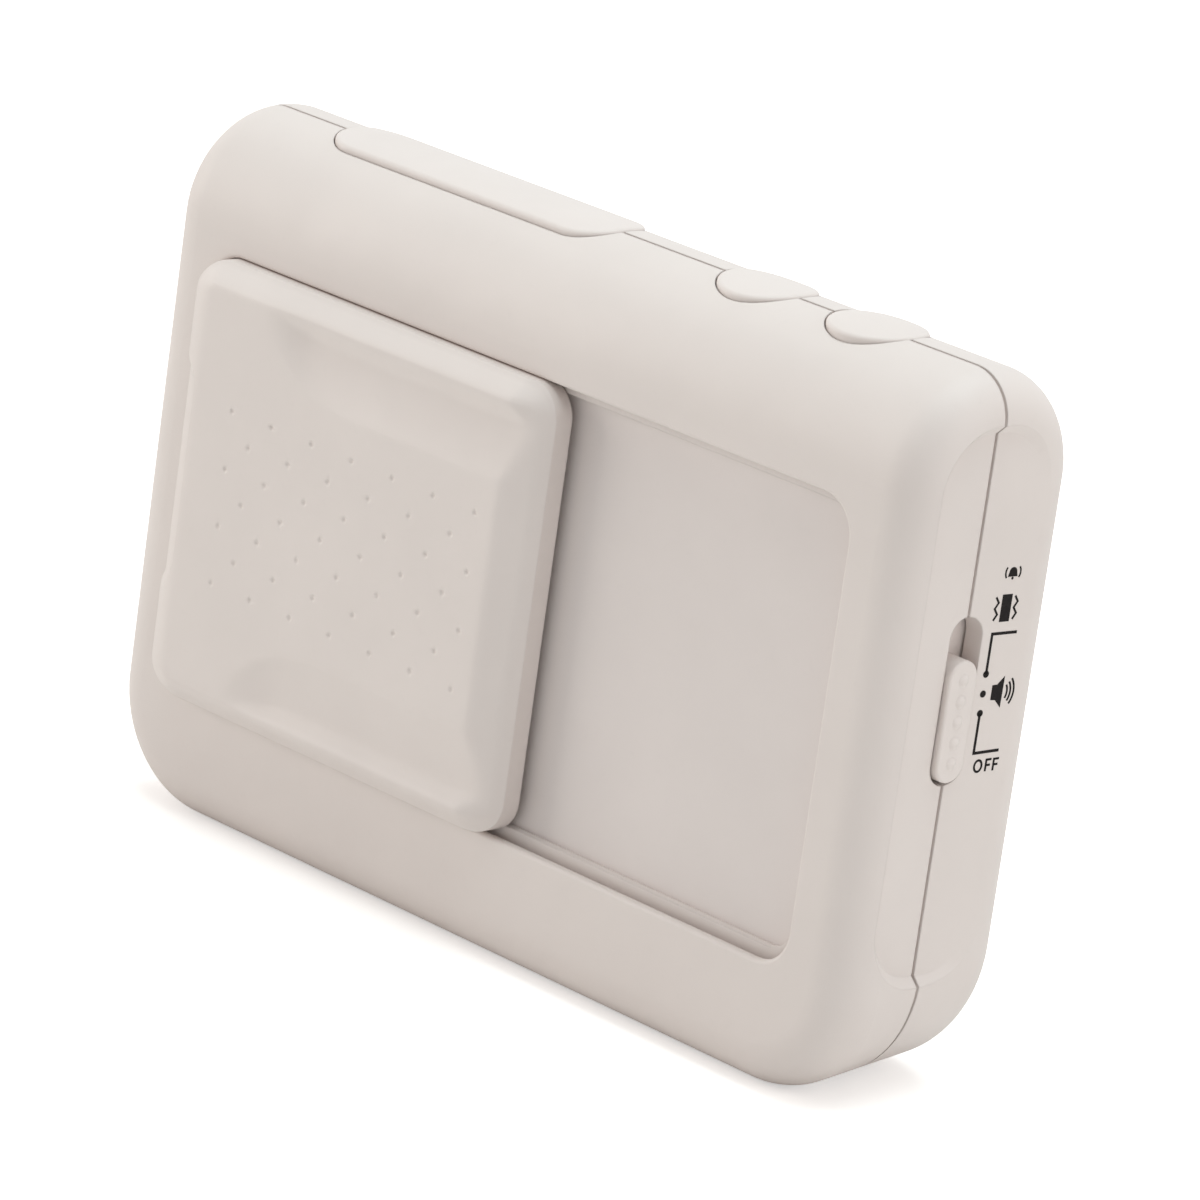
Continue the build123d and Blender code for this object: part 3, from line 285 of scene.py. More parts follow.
def cell_jacket(node):
    """A cell's plain printed jacket: dark band, pale band and bare metal at both ends, along X."""
    finish = Finish(node + "_jacket", {"IOR": 1.5})
    low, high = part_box(node)
    along = finish.node("SeparateXYZ", {"Vector": finish.place}).outputs["X"]
    sheen = finish.noise(size=0.2 * MM, detail=3.0, vector=finish.stretched((0.05, 1.0, 1.0)))
    blue = finish.blend(sheen, (0.018, 0.045, 0.16), (0.028, 0.065, 0.21))
    band_start = low.x + 0.70 * (high.x - low.x)
    edge = 0.05 * MM
    base = finish.blend(along, blue, (0.70, 0.70, 0.72), start=band_start - edge, end=band_start + edge)
    end_inner, end_outer = 1.0 * MM, 0.9 * MM
    is_left = finish.span(along, low=1.0, high=0.0, start=low.x + end_outer, end=low.x + end_inner)
    is_right = finish.span(along, low=0.0, high=1.0, start=high.x - end_inner, end=high.x - end_outer)
    is_end = finish.maths("MAXIMUM", is_left, is_right)
    finish.set("Base Color", finish.mix(is_end, base, BARE_METAL))
    finish.set("Metallic", finish.maths("MAXIMUM", is_end, 0.35))
    finish.vary_roughness(sheen, 0.22, 0.34)
    finish.bump(sheen, depth=0.004 * MM, strength=0.4)
    return finish.material


def glossy_resin(name, colour):
    """Poured or moulded resin with small sinks in its skin."""
    finish = Finish(name, {"IOR": 1.54, "Coat Weight": 0.5})
    waves = finish.noise(size=1.6 * MM, detail=2.0)
    finish.set("Base Color", finish.blend(waves, colour, shade(colour, 1.3)))
    finish.vary_roughness(waves, 0.10, 0.22)
    finish.bump(waves, depth=0.03 * MM, strength=0.6)
    return finish.material


# Plastics: colour, roughness, size and depth of the grain, colour of the painted shade in narrow gaps
PLASTICS = {
    "case_plastic": (CASE_COLOUR, 0.50, 0.16 * MM, 0.012 * MM, GAP_SHADE_BROWN),
    "cover_plastic": (CASE_COLOUR, 0.50, 0.16 * MM, 0.012 * MM, GAP_SHADE_BROWN),
    "button_plastic": (shade(CASE_COLOUR, 1.02), 0.46, 0.14 * MM, 0.010 * MM, GAP_SHADE_BROWN),
    "panel_plastic": (PANEL_COLOUR, 0.56, 0.20 * MM, 0.010 * MM, GAP_SHADE_BROWN),
    "plunger_plastic": ((0.72, 0.70, 0.64), 0.40, 0.20 * MM, 0.006 * MM, GAP_SHADE_BROWN),
    "dark_plastic": ((0.012, 0.012, 0.013), 0.48, 0.18 * MM, 0.012 * MM, GAP_SHADE_BLACK),
    "switch_black": ((0.009, 0.009, 0.010), 0.42, 0.12 * MM, 0.010 * MM, GAP_SHADE_BLACK),
    "component_black": ((0.011, 0.011, 0.012), 0.38, 0.10 * MM, 0.008 * MM, GAP_SHADE_BLACK),
    "buzzer_black": ((0.010, 0.010, 0.011), 0.40, 0.15 * MM, 0.012 * MM, GAP_SHADE_BLACK),
}
# Metals: colour, roughness, axis of the drawing marks
METALS = {
    "screw_steel": ((0.47, 0.47, 0.49), 0.34, "Y"),
    # Near-black painted shade of the screw heads' cross recesses, laid on as flat crosses
    "screw_recess_shade": ((0.060, 0.060, 0.064), 0.55, "Y"),
    "shaft_steel": ((0.55, 0.55, 0.57), 0.22, "Y"),
    "motor_steel": ((0.45, 0.46, 0.48), 0.34, "X"),
    "strap_steel": ((0.48, 0.49, 0.50), 0.38, "X"),
    "switch_steel": ((0.55, 0.56, 0.58), 0.30, "Z"),
    "crystal_can": ((0.62, 0.63, 0.65), 0.20, "Z"),
    "contact_nickel": ((0.58, 0.55, 0.50), 0.26, "Z"),
    "weight_brass": ((0.52, 0.36, 0.13), 0.36, "X"),
}
shared = {name: moulded_plastic(name, *values) for name, values in PLASTICS.items()}
shared |= {name: metal(name, *values) for name, values in METALS.items()}
ink = printed_ink("printed_ink", (0.012, 0.010, 0.010))
lcd_ink = printed_ink("lcd_segment", (0.018, 0.022, 0.020))

# Nodes that share a plastic or a metal
SHARED_BY = {
    "case_plastic": ("front_shell", "rear_shell", "battery_door"),
    "cover_plastic": ("sliding_cover",),
    "button_plastic": ("snooze_bar", "round_button_left", "round_button_right", "alarm_slider"),
    "panel_plastic": ("display_panel",),
    "plunger_plastic": ("snooze_plunger", "left_plunger", "right_plunger"),
    "dark_plastic": ("lcd_frame", "motor_end_cap"),
    "switch_black": ("snooze_push_switch", "left_push_switch", "right_push_switch", "alarm_switch_lever"),
    "component_black": ("board_components",),
    "buzzer_black": ("buzzer",),
    "screw_steel": ("board_screws", "strap_screws", "case_screws"),
    "shaft_steel": ("motor_shaft",),
    "motor_steel": ("motor_can",),
    "strap_steel": ("motor_strap",),
    "switch_steel": ("alarm_switch_body",),
    "crystal_can": ("crystal",),
    "contact_nickel": ("battery_bridge", "battery_terminals"),
    "weight_brass": ("eccentric_weight",),
}
FINISHES = {node: shared[name] for name, nodes in SHARED_BY.items() for node in nodes}
FINISHES |= {
    "display_window": clear_plastic("clear_window", (0.97, 0.98, 0.975), roughness=0.02, haze=0.05),
    "light_guide": clear_plastic("light_guide", (0.92, 0.93, 0.90), roughness=0.35, haze=0.2),
    "lcd_glass": liquid_crystal("lcd_glass"),
    "zebra_strips": zebra_rubber("zebra_rubber"),
    "main_board": circuit_board("circuit_board"),
    "backlight_led": glossy_resin("led_resin", (0.78, 0.70, 0.36)),
    "chip_blob": glossy_resin("black_resin", (0.006, 0.006, 0.006)),
    "buzzer_pad": foam("foam_pad"),
    "lower_cell": cell_jacket("lower_cell"),
    "upper_cell": cell_jacket("upper_cell"),
}
for node, material in FINISHES.items():
    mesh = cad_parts[node].data
    mesh.materials.clear()
    mesh.materials.append(material)


def place_piece(name, mesh, body):
    """Puts a mesh into the scene as a piece that moves with a body."""
    piece = bpy.data.objects.new(name, mesh)
    bpy.context.scene.collection.objects.link(piece)
    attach(piece, body)
    return piece


def new_piece(name, mesh_maker, material, body):
    """Makes one piece from a bmesh that mesh_maker fills."""
    cage = bmesh.new()
    mesh_maker(cage)
    bmesh.ops.recalc_face_normals(cage, faces=cage.faces)
    mesh = bpy.data.meshes.new(name)
    cage.to_mesh(mesh)
    cage.free()
    mesh.materials.append(material)
    return place_piece(name, mesh, body)


def prism(cage, outline, lift):
    """A closed flat plate from an outline of 3-D points, raised by the vector lift."""
    low = [cage.verts.new(point) for point in outline]
    high = [cage.verts.new(point + lift) for point in outline]
    cage.faces.new(low)
    cage.faces.new(high)
    for index in range(len(outline)):
        following = (index + 1) % len(outline)
        cage.faces.new((low[index], low[following], high[following], high[index]))


def arc(centre, radius, first, last, steps=16, squeeze=1.0):
    """Points on an arc; angles in degrees, squeeze is its width as a share of its height."""
    turns = [radians(first + (last - first) * step / steps) for step in range(steps + 1)]
    return [(centre[0] + squeeze * radius * cos(turn), centre[1] + radius * sin(turn)) for turn in turns]


def ring(centre, radius, count, squeeze=1.0):
    """Points all the way round, the first of them once."""
    return arc(centre, radius, 0, 360 * (count - 1) / count, count - 1, squeeze)


# Display: seven-segment figures and a bell on the front of its glass
SEGMENTS_ON = {"0": "abcdef", "1": "bc", "3": "abgcd", "6": "acdefg", "8": "abcdefg"}
SEGMENT_ENDS = {
    "a": ((0, 1), (1, 1)), "b": ((1, 1), (1, 0.5)), "c": ((1, 0.5), (1, 0)), "d": ((0, 0), (1, 0)),
    "e": ((0, 0.5), (0, 0)), "f": ((0, 1), (0, 0.5)), "g": ((0, 0.5), (1, 0.5)),
}
SEGMENT_LIFT = Vector((0, -0.03 * MM, 0))
SEGMENT_GAP = 0.25 * MM
SEGMENT_SLANT = 0.06
# The figures, their distance, their corner from the middle of the glass, and width, height and stroke of one
HOURS, HOURS_PITCH, HOURS_CORNER = "1008", 7.0 * MM, (-14.6, -6.5)
HOURS_SIZE = (5.0 * MM, 11.5 * MM, 1.25 * MM)
SECONDS, SECONDS_PITCH, SECONDS_CORNER = "36", 3.4 * MM, (7.6, -12.2)
SECONDS_SIZE = (2.3 * MM, 4.2 * MM, 0.55 * MM)
# The colon stands before this figure of the hours
COLON_PLACE = 2
COLON_ROOM = 2.4 * MM
COLON_INSET = 0.2 * MM
COLON_RADIUS = 0.75 * MM
COLON_DOT_SHARES = (0.30, 0.68)
BELL_HEIGHT = 3.6 * MM
BELL_FOOT = (-12.5, 9.0)
# Shares of the bell's height: radius and level of the dome, half width and level of the rim, clapper
DOME_SHARE, DOME_LEVEL_SHARE = 0.38, 0.42
RIM_SHARE, RIM_LEVEL_SHARE = 0.513, 0.12
CLAPPER_SHARE, CLAPPER_SQUEEZE = 0.10, 1.2
CLAPPER_LIFT = SEGMENT_LIFT * 0.9
glass_low, glass_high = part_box("lcd_glass")
glass_front = glass_low.y
glass_centre = (glass_low + glass_high) / 2


def from_centre(corner):
    """A place in X and Z, given in millimetres from the middle of the glass."""
    return Vector((glass_centre.x + corner[0] * MM, glass_centre.z + corner[1] * MM))


def on_glass(points):
    return [Vector((x, glass_front, z)) for x, z in points]


def segment_outline(start, end, width):
    """A six-sided bar between two points, pointed at both ends."""
    along = (end - start).normalized()
    across = Vector((-along.y, along.x)) * width / 2
    inset = along * width / 2
    upper = [start + inset + across, end - inset + across]
    lower = [end - inset - across, start + inset - across]
    return [start, *upper, end, *lower]


def draw_figure(cage, figure, corner, size):
    """One figure; corner is its lower left corner."""
    width, height, thickness = size
    for letter in SEGMENTS_ON[figure]:
        start, end = (corner + Vector((column * width + SEGMENT_SLANT * row * height, row * height))
                      for column, row in SEGMENT_ENDS[letter])
        step = (end - start).normalized() * SEGMENT_GAP
        prism(cage, on_glass(segment_outline(start + step, end - step, thickness)), SEGMENT_LIFT)


def draw_bell(cage, foot, height):
    """An alarm bell sign: a dome on a wider rim, with its clapper."""
    dome = arc((foot.x, foot.y + DOME_LEVEL_SHARE * height), DOME_SHARE * height, 0, 180, 12)
    rim = [(foot.x + side * RIM_SHARE * height, foot.y + RIM_LEVEL_SHARE * height) for side in (-1, 1)]
    prism(cage, on_glass(dome + rim), SEGMENT_LIFT)
    prism(cage, on_glass(ring(foot, CLAPPER_SHARE * height, 12, CLAPPER_SQUEEZE)), CLAPPER_LIFT)


def display_digits(cage):
    place = from_centre(HOURS_CORNER)
    for index, figure in enumerate(HOURS):
        shift = COLON_ROOM if index >= COLON_PLACE else 0.0
        draw_figure(cage, figure, place + Vector((index * HOURS_PITCH + shift, 0)), HOURS_SIZE)
    colon_x = place.x + COLON_PLACE * HOURS_PITCH + COLON_INSET
    for share in COLON_DOT_SHARES:
        dot = ring((colon_x, place.y + share * HOURS_SIZE[1]), COLON_RADIUS, 16)
        prism(cage, on_glass(dot), SEGMENT_LIFT)
    place = from_centre(SECONDS_CORNER)
    for index, figure in enumerate(SECONDS):
        draw_figure(cage, figure, place + Vector((index * SECONDS_PITCH, 0)), SECONDS_SIZE)
    draw_bell(cage, from_centre(BELL_FOOT), BELL_HEIGHT)


new_piece("lcd_digits", display_digits, lcd_ink, "clock_body")


# Side grip, in millimetres: its floor is level as far as the parting line, then runs out to the rear edge
GRIP_DEPTH = 1.0
GRIP_FLOOR_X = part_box("rear_shell")[1].x / MM - GRIP_DEPTH
GRIP_PARTING_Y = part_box("front_shell")[1].y / MM
GRIP_BACK_Y = 9.0
GRIP_SLOPE = 1 / 8.15
GRIP_MIDDLE = (0.9, 43.25)
GRIP_HALF = (6.95, 28.75)
GRIP_CORNER = 6.0
# How far a point may lie from the grip's flared surface and still be part of it
GRIP_TOLERANCE = 0.04
# Faces whose normals meet at less than about 20 degrees are shaded as one surface
SMOOTH_COSINE = 0.94


def grip_floor(y):
    return GRIP_FLOOR_X + max(0.0, y - GRIP_PARTING_Y) * GRIP_SLOPE


def beside_grip(y, z):
    """How far a place lies outside the flat floor of the grip."""
    across = abs(y - GRIP_MIDDLE[0]) - GRIP_HALF[0] + GRIP_CORNER
    along = abs(z - GRIP_MIDDLE[1]) - GRIP_HALF[1] + GRIP_CORNER
    if across > 0 and along > 0:
        return max(0.0, hypot(across, along) - GRIP_CORNER)
    return max(0.0, across - GRIP_CORNER, along - GRIP_CORNER)


def open_grip(point):
    """Where a point of the grip's rear half goes, so that the floor meets the rear edge without a wall."""
    x, y, z = (part / MM for part in point)
    flared = GRIP_FLOOR_X + beside_grip(y, z)
    if y <= GRIP_PARTING_Y or y >= GRIP_BACK_Y or abs(x - flared) >= GRIP_TOLERANCE:
        return None
    raised = grip_floor(y)
    return Vector((raised * MM, point.y, point.z)) if raised > x else None


def spot_key(vertex):
    """A key that all vertices within about a micrometre share."""
    return tuple(round(part / MM, 3) for part in vertex.co)


def reshaped(name, node, body, move):
    """Stands a copy of a node's mesh in for the node, with some points moved and fresh normals there."""
    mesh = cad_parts[node].data.copy()
    mesh.name = name
    normals = [corner.vector.copy() for corner in mesh.corner_normals]
    moved = set()
    for vertex in mesh.vertices:
        place = move(vertex.co)
        if place is not None:
            vertex.co = place
            moved.add(vertex.index)
    mesh.update()
    fresh = [face for face in mesh.polygons if any(index in moved for index in face.vertices)]
    meeting = {}
    for face in fresh:
        for index in face.vertices:
            key = spot_key(mesh.vertices[index])
            meeting.setdefault(key, []).append((face.normal.copy(), face.area))
    for face in fresh:
        for loop in face.loop_indices:
            mean = Vector((0, 0, 0))
            for normal, area in meeting[spot_key(mesh.vertices[mesh.loops[loop].vertex_index])]:
                if normal.dot(face.normal) > SMOOTH_COSINE:
                    mean += normal * area
            normals[loop] = mean.normalized() if mean.length else face.normal.copy()
    mesh.normals_split_custom_set(normals)
    piece = place_piece(name, mesh, body)
    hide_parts(node)


reshaped("rear_shell_skin", "rear_shell", "clock_body", open_grip)


# Marks beside the alarm slider, in millimetres: Y to the right and Z up as seen from the side
MARK_LIFT = Vector((0.02 * MM, 0, 0))
# At a sharp corner a stroke is at most twice as wide as elsewhere
LEAST_MITRE = 0.5
DOTS_Z = (46.48, 44.38, 42.31)
DOT_Y = 4.24
DOT_RADIUS = 0.38
DOT_POINTS = 24
POSITION_LINES = (
    ((DOT_Y, DOTS_Z[0]), (DOT_Y, 50.73), (7.48, 50.73)),
    ((DOT_Y, DOTS_Z[-1]), (DOT_Y, 38.05), (7.54, 38.14)),
)
POSITION_LINE_WIDTH = 0.32
SPEAKER = ((5.34, 45.22), (5.97, 45.24), (6.84, 46.10), (6.79, 42.72), (5.97, 43.58), (5.34, 43.64))
SPEAKER_MIDDLE = (5.98, 44.42)
# Radius of each sound wave, and how many degrees it reaches up and down
SOUND_WAVES = ((1.42, 30), (1.86, 33), (2.30, 36))
SOUND_WAVE_WIDTH = 0.23
LETTER_O_MIDDLE, LETTER_O_RADIUS, LETTER_O_SQUEEZE = (5.07, 36.62), 0.61, 0.80
LETTERS_F_Y = (6.12, 7.12)
# The stem of a letter F and its two arms, from the stem's Y
LETTER_F_STEM = ((0.0, 35.97), (0.0, 37.33))
LETTER_F_ARMS = (((0.0, 37.21), (0.66, 37.24)), ((0.0, 36.62), (0.56, 36.64)))
STEM_WIDTH = 0.25
ARM_WIDTH = 0.24
BLOCK_LOW, BLOCK_HIGH = (4.85, 51.95), (6.15, 54.85)
ZIGZAGS_Y = (4.15, 6.65)
ZIGZAG_LEFT, ZIGZAG_RIGHT = -0.12, 0.30
ZIGZAG_START, ZIGZAG_STEP, ZIGZAG_POINTS = 52.15, 0.62, 5
BELL_MIDDLE, BELL_RADIUS = (5.75, 57.20), 0.50
BELL_RIM = ((6.38, 56.70), (5.12, 56.70))
CLAPPER_MIDDLE, CLAPPER_RADIUS = (5.75, 56.52), 0.15
RINGING_MIDDLE, RINGING_RADIUS, RINGING_WIDTH = (5.75, 57.15), 0.98, 0.2
RINGING_ARCS = ((145, 215), (-35, 35))


def plate(cage, points):
    """A thin printed area on the floor of the grip."""
    prism(cage, [Vector((grip_floor(y) * MM, y * MM, z * MM)) for y, z in points], MARK_LIFT)


def stroke(cage, points, width):
    """A printed line of even width along the points, with mitred corners."""
    left, right = [], []
    for index, point in enumerate(points):
        here = Vector(point)
        before = (here - Vector(points[index - 1])).normalized() if index else None
        after = (Vector(points[index + 1]) - here).normalized() if index + 1 < len(points) else None
        first, second = before or after, after or before
        middle = (first + second).normalized()
        side = Vector((-middle.y, middle.x)) * width / 2 / max(middle.dot(first), LEAST_MITRE)
        left.append(tuple(here + side))
        right.append(tuple(here - side))
    for index in range(len(points) - 1):
        plate(cage, (left[index], left[index + 1], right[index + 1], right[index]))


def switch_lines(cage):
    """A dot for each of the switch's positions, the outer two with a line to their sign."""
    for z in DOTS_Z:
        plate(cage, ring((DOT_Y, z), DOT_RADIUS, DOT_POINTS))
    for line in POSITION_LINES:
        stroke(cage, line, POSITION_LINE_WIDTH)


def speaker_sign(cage):
    plate(cage, SPEAKER)
    for radius, reach in SOUND_WAVES:
        stroke(cage, arc(SPEAKER_MIDDLE, radius, -reach, reach), SOUND_WAVE_WIDTH)


def off_sign(cage):
    stroke(cage, arc(LETTER_O_MIDDLE, LETTER_O_RADIUS, 0, 360, 28, LETTER_O_SQUEEZE), STEM_WIDTH)
    for left in LETTERS_F_Y:
        stroke(cage, [(left + y, z) for y, z in LETTER_F_STEM], STEM_WIDTH)
        for arm in LETTER_F_ARMS:
            stroke(cage, [(left + y, z) for y, z in arm], ARM_WIDTH)


def vibration_sign(cage):
    """A shaking block between zigzag lines."""
    plate(cage, (BLOCK_LOW, (BLOCK_HIGH[0], BLOCK_LOW[1]), BLOCK_HIGH, (BLOCK_LOW[0], BLOCK_HIGH[1])))
    for y in ZIGZAGS_Y:
        stroke(cage, [(y + (ZIGZAG_RIGHT if step % 2 else ZIGZAG_LEFT), ZIGZAG_START + ZIGZAG_STEP * step)
                      for step in range(ZIGZAG_POINTS)], ARM_WIDTH)


def bell_sign(cage):
    """A ringing bell."""
    plate(cage, [*arc(BELL_MIDDLE, BELL_RADIUS, 180, 0, 12), *BELL_RIM])
    plate(cage, ring(CLAPPER_MIDDLE, CLAPPER_RADIUS, DOT_POINTS))
    for first, last in RINGING_ARCS:
        stroke(cage, arc(RINGING_MIDDLE, RINGING_RADIUS, first, last), RINGING_WIDTH)


for mark in (switch_lines, speaker_sign, off_sign, vibration_sign, bell_sign):
    new_piece(mark.__name__, mark, ink, "clock_body")


# Sliding cover, in millimetres; a drop is how far its skin lies behind the front plane
COVER_LOW, COVER_HIGH = (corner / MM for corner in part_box("sliding_cover"))
RAIL_REACH = 1.0
RAIL_INSET = 6.0
RAIL_THICK = 0.5
RAIL_OVERLAP = 0.4
COVER_WALL = 1.7
COVER_HOLLOW = 1.6
COVER_CORNER = 3.9
# How much shorter at the right and taller at the top the skin is than the solid
SKIN_SHORTER, SKIN_TALLER = 1.2, 0.22
COVER_LEFT, COVER_RIGHT = COVER_LOW.x, COVER_HIGH.x - SKIN_SHORTER
COVER_BOTTOM, COVER_TOP = COVER_LOW.z + RAIL_REACH, COVER_HIGH.z - RAIL_REACH + SKIN_TALLER
COVER_HALF = ((COVER_RIGHT - COVER_LEFT) / 2, (COVER_TOP - COVER_BOTTOM) / 2)
COVER_CENTRE = ((COVER_RIGHT + COVER_LEFT) / 2, (COVER_TOP + COVER_BOTTOM) / 2)
# The scoops and dimples lie about the middle of the solid, which isn't quite the centre of the skin
PATTERN_MIDDLE = ((COVER_LOW.x + COVER_HIGH.x) / 2, (COVER_LOW.z + COVER_HIGH.z) / 2)
# Sloping right end
BEVEL_LENGTH = 4.5
BEVEL_START = COVER_RIGHT - BEVEL_LENGTH
BEVEL_SLOPE = 2.8 / 5.7
BEVEL_SOFT = 0.7
# Finger scoops: ridge line from the middle, width, depth, and the rounded tip at the left
SCOOP_LINE = 22.5
SCOOP_WIDTH = 8.7
SCOOP_DROP = 1.15
SCOOP_FULL_X = -20.0
SCOOP_TIP = 15.6
SCOOP_TIP_POWERS = (2.2, 0.6)
SCOOP_FADE_END = 8
SCOOP_STEEP_SHARE = 0.30
SCOOP_RISE_POWER = 2.2
# Dimples: rows of alternately six and seven, counted from the middle one
DIMPLE_MIDDLE = (PATTERN_MIDDLE[0] + 0.25, PATTERN_MIDDLE[1] - 0.10)
DIMPLE_PITCH = (6.35, 3.23)
DIMPLE_REACH = 3
DIMPLE_RADIUS = 0.42
DIMPLE_FLOOR_SHARE = 0.3
DIMPLE_DROP = 0.16
# Finger notch in the left rim
NOTCH_LOW, NOTCH_HIGH = 26.2, 52.3
NOTCH_END = 3
NOTCH_WIDTH = 2.3
NOTCH_DROP = 0.5
NOTCH_EDGE = 0.06
# Width and drop of the rounded rim on each side, how fast it falls away, and how the bevel flattens it
TOP_RIM, BOTTOM_RIM, LEFT_RIM, RIGHT_RIM = (2.4, 2.4), (2.2, 1.9), (3.2, 1.15), (1.3, 0.9)
RIM_POWER = 1.35
SIDE_POWER_ADDED = 0.4
BEVEL_FLATTENS = 0.35
BEVEL_FLAT_DROP = 2
# Softening: the valley between bevel and scoop, and a mean over a ring of places round each place
VALLEY_SOFT = 0.45
RIM_SOFT = 0.55
RING_PLACES = 8
RING_WEIGHT = 0.09
TINY = 1e-6
# Grid of the skin: closer and closer towards an edge, then dense, then wide; the least room between lines
EDGE_LINES = 7
EDGE_SPREAD = 0.0225
DENSE_START, DENSE_STEP = 0.95, 0.2
DENSE_AT_SIDES, DENSE_AT_ENDS = 3.4, 11.0
WIDE_STEP = 0.6
LEAST_STEP, LEAST_LAST_STEP = 0.038, 0.018
# Extra lines: beside the middle of each dimple, along the start of the bevel, along the notch's step
DIMPLE_LINES = [0.1 * step for step in range(-4, 5)]
BEVEL_LINES = [BEVEL_START - 0.6 + 0.1 * step for step in range(22)]
NOTCH_LINES = [COVER_LEFT + NOTCH_WIDTH - 0.4 + 0.04 * step for step in range(13)]
SHARP_TURN = radians(42)
WELD = 0.002 * MM


def smooth(value, start, end):
    """0 before start and 1 after end, with a soft rise between them."""
    share = min(1.0, max(0.0, (value - start) / (end - start)))
    return share * share * (3 - 2 * share)


def inside_outline(x, z):
    """Distance inside the cover's outline, the nearest place not outside it and the way to the edge."""
    across, along = x - COVER_CENTRE[0], z - COVER_CENTRE[1]
    side, end = (1 if across > 0 else -1), (1 if along > 0 else -1)
    corner_x = abs(across) - COVER_HALF[0] + COVER_CORNER
    corner_z = abs(along) - COVER_HALF[1] + COVER_CORNER
    if corner_x > 0 and corner_z > 0:
        reach = hypot(corner_x, corner_z)
        way = (corner_x / reach * side, corner_z / reach)
        inside = COVER_CORNER - reach
        if inside > 0:
            return inside, x, z, way
        shrink = COVER_CORNER / reach
        x = COVER_CENTRE[0] + (COVER_HALF[0] - COVER_CORNER + corner_x * shrink) * side
        z = COVER_CENTRE[1] + (COVER_HALF[1] - COVER_CORNER + corner_z * shrink) * end
        return 0.0, x, z, way
    to_side, to_end = COVER_HALF[0] - abs(across), COVER_HALF[1] - abs(along)
    way = (side, 0) if to_side < to_end else (0, 1)
    return max(0.0, min(to_side, to_end)), x, z, way


def bevel_drop(x):
    """The sloping right end, rounded where it starts."""
    past = x - BEVEL_START + BEVEL_SOFT / 2
    if past <= 0:
        return 0.0
    return BEVEL_SLOPE * (past * past / (2 * BEVEL_SOFT) if past < BEVEL_SOFT else past - BEVEL_SOFT / 2)


def scoop_drop(x, z):
    """The finger scoops: steep under a soft ridge, flat, then up to the dimpled middle; round at the left."""
    width = SCOOP_WIDTH
    if x < SCOOP_FULL_X:
        towards_tip = (SCOOP_FULL_X - x) / SCOOP_TIP
        if towards_tip >= 1:
            return 0.0
        width *= (1 - towards_tip ** SCOOP_TIP_POWERS[0]) ** SCOOP_TIP_POWERS[1]
    share = (SCOOP_LINE - abs(z - PATTERN_MIDDLE[1])) / width
    if share <= 0 or share >= 1:
        return 0.0
    depth = SCOOP_DROP * smooth(x, SCOOP_FULL_X - SCOOP_TIP, SCOOP_FULL_X - SCOOP_FADE_END)
    return depth * smooth(share, 0.0, SCOOP_STEEP_SHARE) * (1 - share ** SCOOP_RISE_POWER)


def dimple_drop(x, z):
    """A small round dimple at the nearest place of the pattern."""
    row = round((z - DIMPLE_MIDDLE[1]) / DIMPLE_PITCH[1])
    if abs(row) > DIMPLE_REACH:
        return 0.0
    shift = 0.0 if row % 2 else 0.5
    column = round((x - DIMPLE_MIDDLE[0]) / DIMPLE_PITCH[0] - shift) + shift
    if abs(column) > DIMPLE_REACH - shift:
        return 0.0
    gap = hypot(x - DIMPLE_MIDDLE[0] - column * DIMPLE_PITCH[0], z - DIMPLE_MIDDLE[1] - row * DIMPLE_PITCH[1])
    return DIMPLE_DROP * (1 - smooth(gap, DIMPLE_FLOOR_SHARE * DIMPLE_RADIUS, DIMPLE_RADIUS))


def notch_drop(x, z):
    """The finger notch in the left rim: a small step that starts and ends in a curve."""
    starting = smooth(z, NOTCH_LOW, NOTCH_LOW + NOTCH_END)
    ending = smooth(z, NOTCH_HIGH - NOTCH_END, NOTCH_HIGH)
    reach = NOTCH_WIDTH * starting * (1 - ending)
    inset = reach - (x - COVER_LEFT)
    return NOTCH_DROP * smooth(inset, -NOTCH_EDGE, NOTCH_EDGE) * min(1.0, reach)


def rim_drop(z, inside, way):
    """The rounded rim, with its own width on each side."""
    upright = way[1] ** 2
    end = TOP_RIM if z > PATTERN_MIDDLE[1] else BOTTOM_RIM
    side = RIGHT_RIM if way[0] > 0 else LEFT_RIM
    width, drop = (end[part] * upright + side[part] * (1 - upright) for part in (0, 1))
    power = RIM_POWER + SIDE_POWER_ADDED * (1 - upright)
    return drop * (1 - inside / width) ** power if inside < width else 0.0


def soft_maximum(first, second, softness):
    """The larger of two drops, rounded where they cross and both are well above zero."""
    softness = max(TINY, min(softness, 2 * min(first, second)))
    overlap = max(softness - abs(first - second), 0.0) / softness
    return max(first, second) + overlap * overlap * softness / 4


def cover_form(x, z):
    """Bevel on the right, scoops and rounded rim."""
    inside, x, z, way = inside_outline(x, z)
    bevel = bevel_drop(x)
    flattening = 1 - BEVEL_FLATTENS * min(1.0, bevel / BEVEL_FLAT_DROP)
    return soft_maximum(bevel, scoop_drop(x, z), VALLEY_SOFT) + rim_drop(z, inside, way) * flattening


def cover_drop(x, z):
    """The whole front: the softened form, then the notch and the dimples, which stay crisp."""
    form = (1 - RING_PLACES * RING_WEIGHT) * cover_form(x, z)
    for place_x, place_z in ring((x, z), RIM_SOFT, RING_PLACES):
        form += RING_WEIGHT * cover_form(place_x, place_z)
    return form + notch_drop(x, z) + dimple_drop(x, z)


def grid_lines(low, high, dense_end, extra):
    """Positions from low to high: closer near both ends and at the places in extra."""
    lines = [EDGE_SPREAD * step * step for step in range(EDGE_LINES)]
    lines += [DENSE_START + DENSE_STEP * step for step in range(int(dense_end / DENSE_STEP))]
    marks = {low + line for line in lines} | {high - line for line in lines}
    count = int((high - low) / WIDE_STEP)
    marks |= {low + (high - low) * step / count for step in range(count + 1)}
    marks |= set(extra)
    kept = [low]
    for mark in sorted(marks):
        if mark - kept[-1] > LEAST_STEP and high - mark > LEAST_LAST_STEP:
            kept.append(mark)
    return kept + [high]


